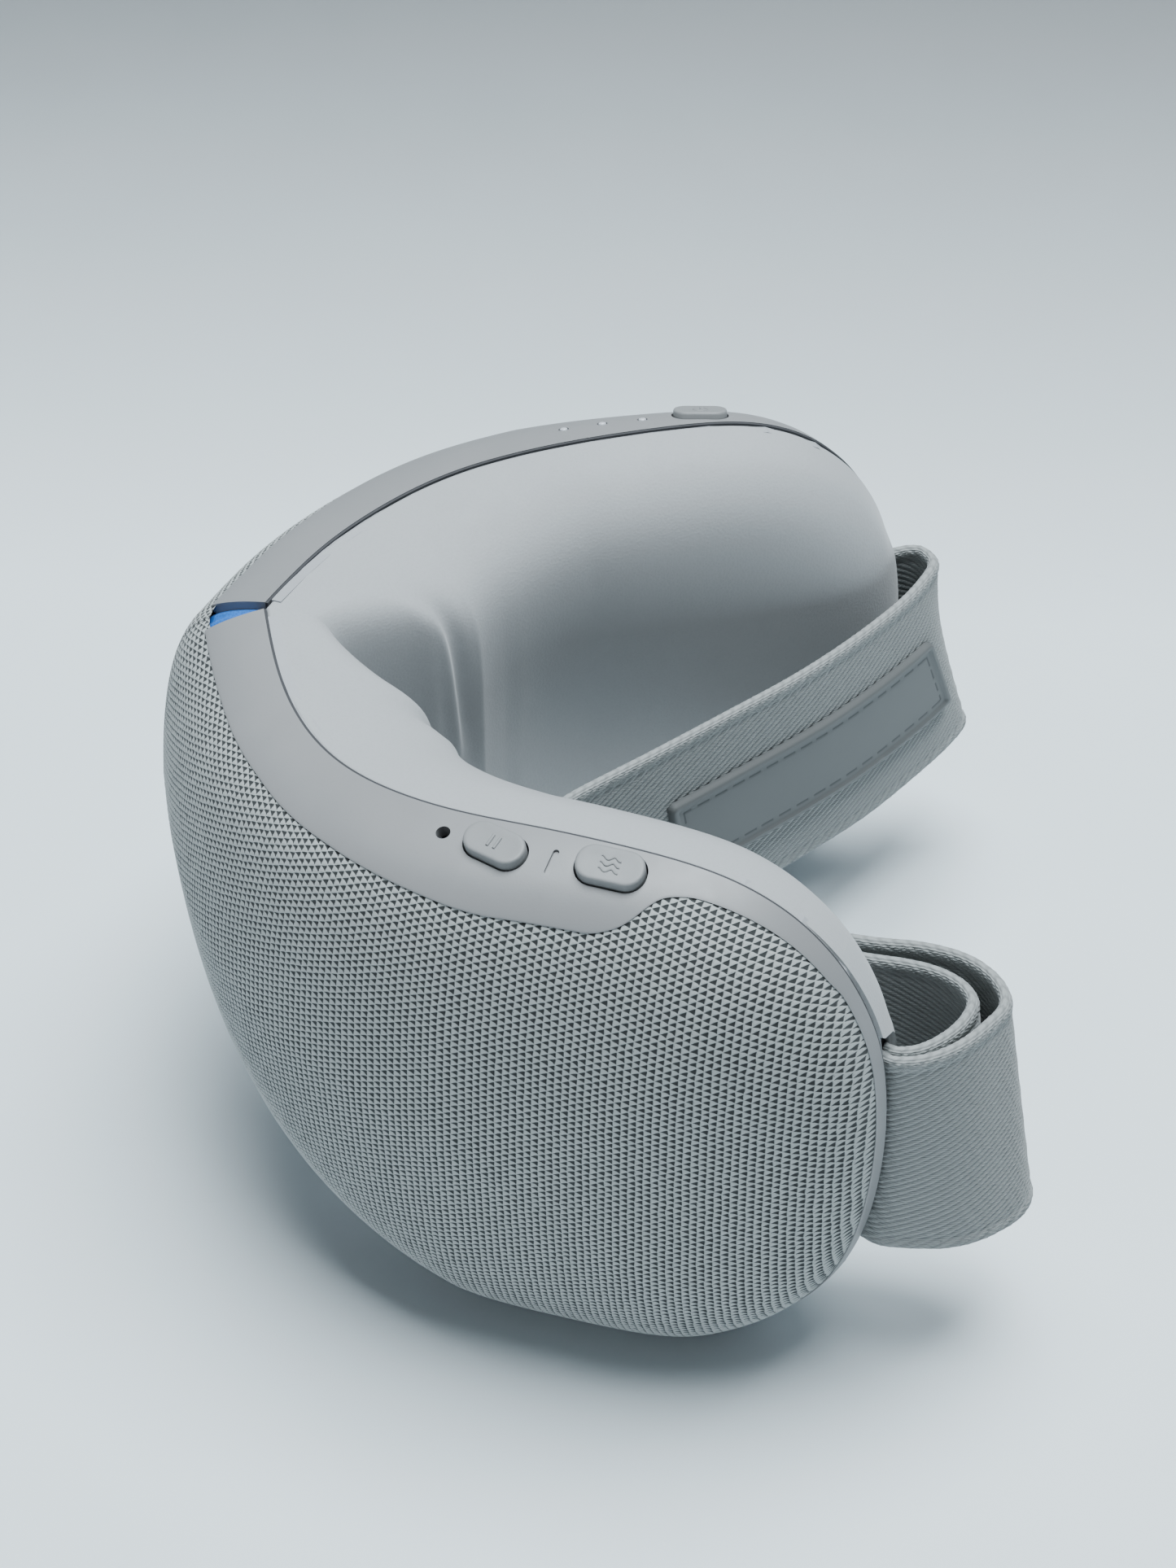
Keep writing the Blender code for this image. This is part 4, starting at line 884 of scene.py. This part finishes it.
# ---------------------------------------------------------------- fold

def gusset():
    """Pleated blue cloth that fills the gap between the halves, a little below the bands and the knit."""
    distance = np.concatenate([np.linspace(0.35, 4.0, 16), np.linspace(4.6, 50, 60)])
    height, slope = crown_at(HINGE_S, np.minimum(distance, HINGE_TALL - distance))
    slope = slope * np.sign(HINGE_TALL / 2 - distance)
    norm = np.sqrt(1 + slope ** 2)
    across = np.linspace(-1, 1, 41)[None, :]
    grids = []
    for depth in (1.25, 1.7):
        deep = depth + 0.7 * np.clip((distance - 6) / 5, 0, 1)
        z = (HINGE_TOP - distance - slope * deep / norm)[:, None]
        pleats = 0.30 * (1 - np.cos(across * math.pi * 3)) * np.ones((len(distance), 1))
        n = (height - deep / norm)[:, None] - pleats
        left = place(LEFT, HINGE_S - 0.1, z, n)
        right = place(RIGHT, HINGE_S - 0.1, z, n)
        share = (across[..., None] + 1) / 2
        grids.append(right * (1 - share) + left * share)
    item = shell("fold_gusset", grids[0], grids[1], looks["blue"])
    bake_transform(item)
    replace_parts(item, "gusset_cap", "gusset_web")
    return item


# ---------------------------------------------------------------- strap

STRAP_LOW, STRAP_WIDTH = 24.0, 40.0
STRAP_TOP = [(57.2, 92.6), (58.5, 95.0), (57.7, 99.4), (54.8, 104.0), (50.6, 107.8), (46.2, 110.4),
             (41.4, 109.2), (37.4, 105.2), (35.3, 99.0), (34.6, 91.0), (32.8, 82), (28.6, 71), (23.0, 60),
             (18.0, 50.5), (14.4, 44.8), (10.6, 43.0), (6.0, 46.2), (-4.1, 57.5), (-15.0, 69.4),
             (-24.0, 79.0), (-33.2, 87.4), (-43.0, 95.0), (-50.0, 99.2), (-55.2, 101.2), (-58.6, 99.6),
             (-59.0, 97.2), (-58.0, 94.6), (-56.9, 92.4)]
STRAP_BOTTOM = [(57.2, 92.6), (58.6, 95.0), (58.8, 100.0), (58.2, 105.4), (55.8, 110.6), (51.2, 115.6),
                (46.0, 116.6), (40.8, 113.0), (37.6, 105.6), (36.0, 96.0), (33.6, 85), (29.0, 73),
                (23.0, 61), (18.0, 51), (14.4, 45.2), (10.6, 43.4), (6.0, 46.6), (-4.1, 58.0),
                (-15.0, 70.0), (-25.0, 80.6), (-36.0, 91.4), (-47.0, 100.0), (-56.0, 106.2), (-62.0, 108.8),
                (-65.4, 106.2), (-63.8, 100.0), (-59.2, 95.0), (-57.2, 92.4)]
TAIL_TOP = [(55.8, 93.4), (56.6, 95.4), (55.8, 98.6), (53.2, 102.0), (49.8, 104.6), (46.0, 105.8),
            (42.6, 104.2), (40.2, 100.8), (38.9, 96.4), (38.0, 90.4), (36.2, 82.0), (33.0, 73.6)]
TAIL_BOTTOM = [(55.8, 93.4), (56.6, 95.4), (56.6, 100.0), (55.8, 104.6), (52.8, 109.4), (49.4, 112.2),
               (46.0, 112.6), (43.0, 109.8), (40.6, 103.4), (39.2, 95.4), (37.0, 84.5), (33.6, 74.4)]
LABEL_SPAN = (0.612, 0.895)
LABEL_LOW, LABEL_HIGH = 35.2, 52.2
TWILL_SKEW, RIB_ROWS = 2.0, 4


class Ribbon:
    """Strap surface between a top and a bottom edge path."""

    def __init__(self, top, bottom):
        self.top, self.bottom = spline(top, 600), spline(bottom, 600)
        middle = (self.top + self.bottom) / 2
        self.length = float(np.linalg.norm(np.diff(middle, axis=0), axis=1).sum())

    def at(self, share, level):
        """Plan point and outward normal at a share of the length and a share of the width."""
        position = np.clip(share, 0, 1) * 600

        def path(where):
            where = np.clip(where, 0, 600)
            low = np.stack([np.interp(where, np.arange(601), self.bottom[:, k]) for k in (0, 1)], axis=-1)
            high = np.stack([np.interp(where, np.arange(601), self.top[:, k]) for k in (0, 1)], axis=-1)
            return low * (1 - level[..., None]) + high * level[..., None]
        ahead = path(position + 3) - path(position - 3)
        normal = np.stack([ahead[..., 1], -ahead[..., 0]], axis=-1)
        normal /= np.linalg.norm(normal, axis=-1)[..., None]
        return path(position), normal

    def points(self, share, level, offset):
        spot, normal = self.at(share, level)
        spot = spot + normal * offset[..., None]
        z = STRAP_LOW + STRAP_WIDTH * level + (1 - level) * np.clip(1 - share / 0.3, 0, 1)
        return np.concatenate([spot + np.array([0, CENTRE_Y]), z[..., None]], axis=-1) * MM


def webbing(name, ribbon, nodes):
    """Twill webbing on a grid that runs with its ribs, with rolled, overlocked edges."""
    step = RIB_PITCH / RIB_ROWS
    skew = STRAP_WIDTH * TWILL_SKEW
    lead = int(skew / 2 / step) + 2
    across = np.array([0, 0.004, 0.012, 0.022, 0.034, 0.046, 0.056, 0.064])
    level = np.concatenate([across, np.linspace(0.082, 0.918, 38), 1 - across[::-1]])
    row, lev = np.meshgrid(np.arange(-lead, int(ribbon.length / step) + lead + 1), level, indexing="ij")
    along = row * step + (lev - 0.5) * skew
    share = np.clip(along / ribbon.length, 0, 1)
    clipped = share * ribbon.length
    edge = np.minimum(lev, 1 - lev) * STRAP_WIDTH
    free = (along > 0) & (along < ribbon.length)
    rib = 0.12 * np.cos(2 * math.pi * row / RIB_ROWS) * np.clip((edge - 2.2) / 0.8, 0, 1) * free
    tie = 0.09 * np.cos(2 * math.pi * clipped / 0.95) * np.clip((2.4 - edge) / 0.4, 0, 1)
    groove = -0.16 * np.exp(-((edge - 2.5) / 0.28) ** 2)
    roll = 0.22 * np.exp(-((edge - 1.2) / 0.8) ** 2)
    rim = np.sqrt(np.clip(1 - (1 - np.clip(edge / 0.9, 0, 1)) ** 2, 0, 1))
    half = (0.72 + rib + groove + roll) * rim + tie * rim
    upper = ribbon.points(share, lev, half)
    lower = ribbon.points(share, lev, -half)
    uv = np.stack([clipped, (lev - 0.5) * skew], axis=-1)
    item = shell(name, upper, lower, looks["webbing"], uv, sharp=None)
    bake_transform(item)
    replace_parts(item, *nodes)
    return item


def label(ribbon):
    """Soft raised patch with a rounded border and a line of stitches."""
    length = ribbon.length * (LABEL_SPAN[1] - LABEL_SPAN[0])
    width = LABEL_HIGH - LABEL_LOW
    a = np.linspace(-length / 2, length / 2, int(length / 0.28))
    b = np.linspace(-width / 2, width / 2, int(width / 0.28))
    x, y = np.meshgrid(a, b, indexing="ij")
    radius = 1.6
    qx, qy = abs(x) - (length / 2 - radius), abs(y) - (width / 2 - radius)
    outside = np.hypot(np.maximum(qx, 0), np.maximum(qy, 0)) + np.minimum(np.maximum(qx, qy), 0) - radius
    pull = np.clip(outside, 0, None)
    norm = np.maximum(np.hypot(np.maximum(qx, 0), np.maximum(qy, 0)), 1e-6)
    x = x - np.sign(x) * np.maximum(qx, 0) / norm * pull
    y = y - np.sign(y) * np.maximum(qy, 0) / norm * pull
    inner = np.clip(-outside, 0, None)
    height = 0.75 * np.sqrt(np.clip(1 - (1 - np.clip(inner / 0.5, 0, 1)) ** 2, 0, 1))
    height += 0.45 * np.clip((1.5 - inner) / 0.3, 0, 1) * np.clip(inner / 0.4, 0, 1)
    on_long = (qy > qx)
    run = np.where(on_long, x, y)
    dash = (np.mod(run, 3.6) < 2.5) * np.clip(1 - abs(inner - 2.5) / 0.3, 0, 1)
    height = height - 0.12 * dash
    share = (LABEL_SPAN[0] + LABEL_SPAN[1]) / 2 + x / ribbon.length
    level = ((LABEL_LOW + LABEL_HIGH) / 2 + y - STRAP_LOW) / STRAP_WIDTH
    upper = ribbon.points(share, level, 0.86 + height)
    lower = ribbon.points(share, level, np.full(x.shape, 0.82))
    item = shell("strap_patch", upper, lower, patch_look(), np.stack([dash, dash], axis=-1))
    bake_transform(item)
    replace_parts(item, "label_patch")
    return item


# ---------------------------------------------------------------- carried over nodes, stage and camera

def dress_nodes():
    """Give every carried over node the look of its slot."""
    for entry in frame["record"]["subparts"]:
        node = frame["nodes"][entry["node"]]
        node.data.materials.clear()
        node.data.materials.append(looks[entry["material_slot"]])


def stage():
    """Pale floor that sweeps up into a grey backdrop, and soft light."""
    sweep = np.linspace(0, math.pi / 2, 40)[1:]
    run = np.concatenate([np.linspace(2.2, -0.16, 30), -0.16 - 0.5 * np.sin(sweep)])
    rise = np.concatenate([np.zeros(30), 0.5 - 0.5 * np.cos(sweep)])
    run, rise = np.append(run, -0.66), np.append(rise, 2.4)
    side = np.linspace(-2.5, 2.5, 12)
    points = np.array([[(x, y, z - 0.0002) for y in side] for x, z in zip(run, rise)])
    colour = (0.86, 0.94, 0.98)
    look = Look("floor", colour, 0.38)
    look.tint(look.ramp(look.noise(3, 4), 0.3, 0.7, 0.0, 0.5), shade(colour, 0.96))
    marks = look.ramp(look.noise(26, 8, 0.75, stretch=(3.0, 0.35, 1)), 0.66, 0.70)
    look.tint(look.math('MULTIPLY', marks, 0.22), shade(colour, 0.8))
    look.roughen(look.noise(40, 5), 0.32, 0.46)
    look.tint(look.ramp(look.parts("Object")[0], -0.12, -0.34, 0.0, 1.0), (0.10, 0.105, 0.11))
    floor = make("floor", points, grid_faces(len(run), len(side)), look.material)
    if floor.data.polygons[0].normal.z < 0:
        floor.data.flip_normals()
    lights = (("top", (-0.2, 0.15, 1.6), (0, 0, 0), 1.1, 64.0),
              ("fill", (1.3, -0.9, 0.9), (0, 0, 0.05), 1.2, 4.0))
    for name, spot, aim, size, power in lights:
        lamp = bpy.data.lights.new(name, 'AREA')
        lamp.shape, lamp.size, lamp.energy = 'SQUARE', size, power
        lamp.color = (0.86, 0.95, 1.0)
        item = bpy.data.objects.new(name, lamp)
        item.location = spot
        item.rotation_euler = (Vector(aim) - Vector(spot)).to_track_quat('-Z', 'Y').to_euler()
        bpy.context.scene.collection.objects.link(item)
    world = bpy.data.worlds.new("studio")
    world.use_nodes = True
    world.node_tree.nodes["Background"].inputs[0].default_value = (0.86, 0.92, 1.0, 1)
    world.node_tree.nodes["Background"].inputs[1].default_value = 0.05
    bpy.context.scene.world = world


AZIMUTH, ELEVATION, DISTANCE, FOCAL = math.radians(93.81), math.radians(41.34), 525.68, 78.72
TARGET = Vector((0, 48.11 + CENTRE_Y, 60.62))


def camera():
    back = Vector((math.sin(AZIMUTH) * math.cos(ELEVATION), -math.cos(AZIMUTH) * math.cos(ELEVATION),
                   math.sin(ELEVATION)))
    right = Vector((math.cos(AZIMUTH), math.sin(AZIMUTH), 0))
    data = bpy.data.cameras.new("camera")
    data.lens, data.sensor_width, data.clip_start = FOCAL, 36.0, 0.01
    item = bpy.data.objects.new("camera", data)
    basis = Matrix((right, back.cross(right), back)).transposed().to_4x4()
    item.matrix_world = Matrix.Translation((TARGET + back * DISTANCE) * MM) @ basis
    bpy.context.scene.collection.objects.link(item)
    bpy.context.scene.camera = item


dress_nodes()
bands_and_controls()
for knit_side, knit_tag in ((LEFT, "left"), (RIGHT, "right")):
    cloth, cloth_area = knit(knit_side, knit_tag)
cushion()
seam_shadow_strip(LEFT, "left")
seam_shadow_strip(RIGHT, "right")
gusset()
main_ribbon = Ribbon(STRAP_TOP, STRAP_BOTTOM)
webbing("strap", main_ribbon, ["strap_band"])
webbing("strap_end", Ribbon(TAIL_TOP, TAIL_BOTTOM), ["strap_tail"])
label(main_ribbon)
stage()
camera()
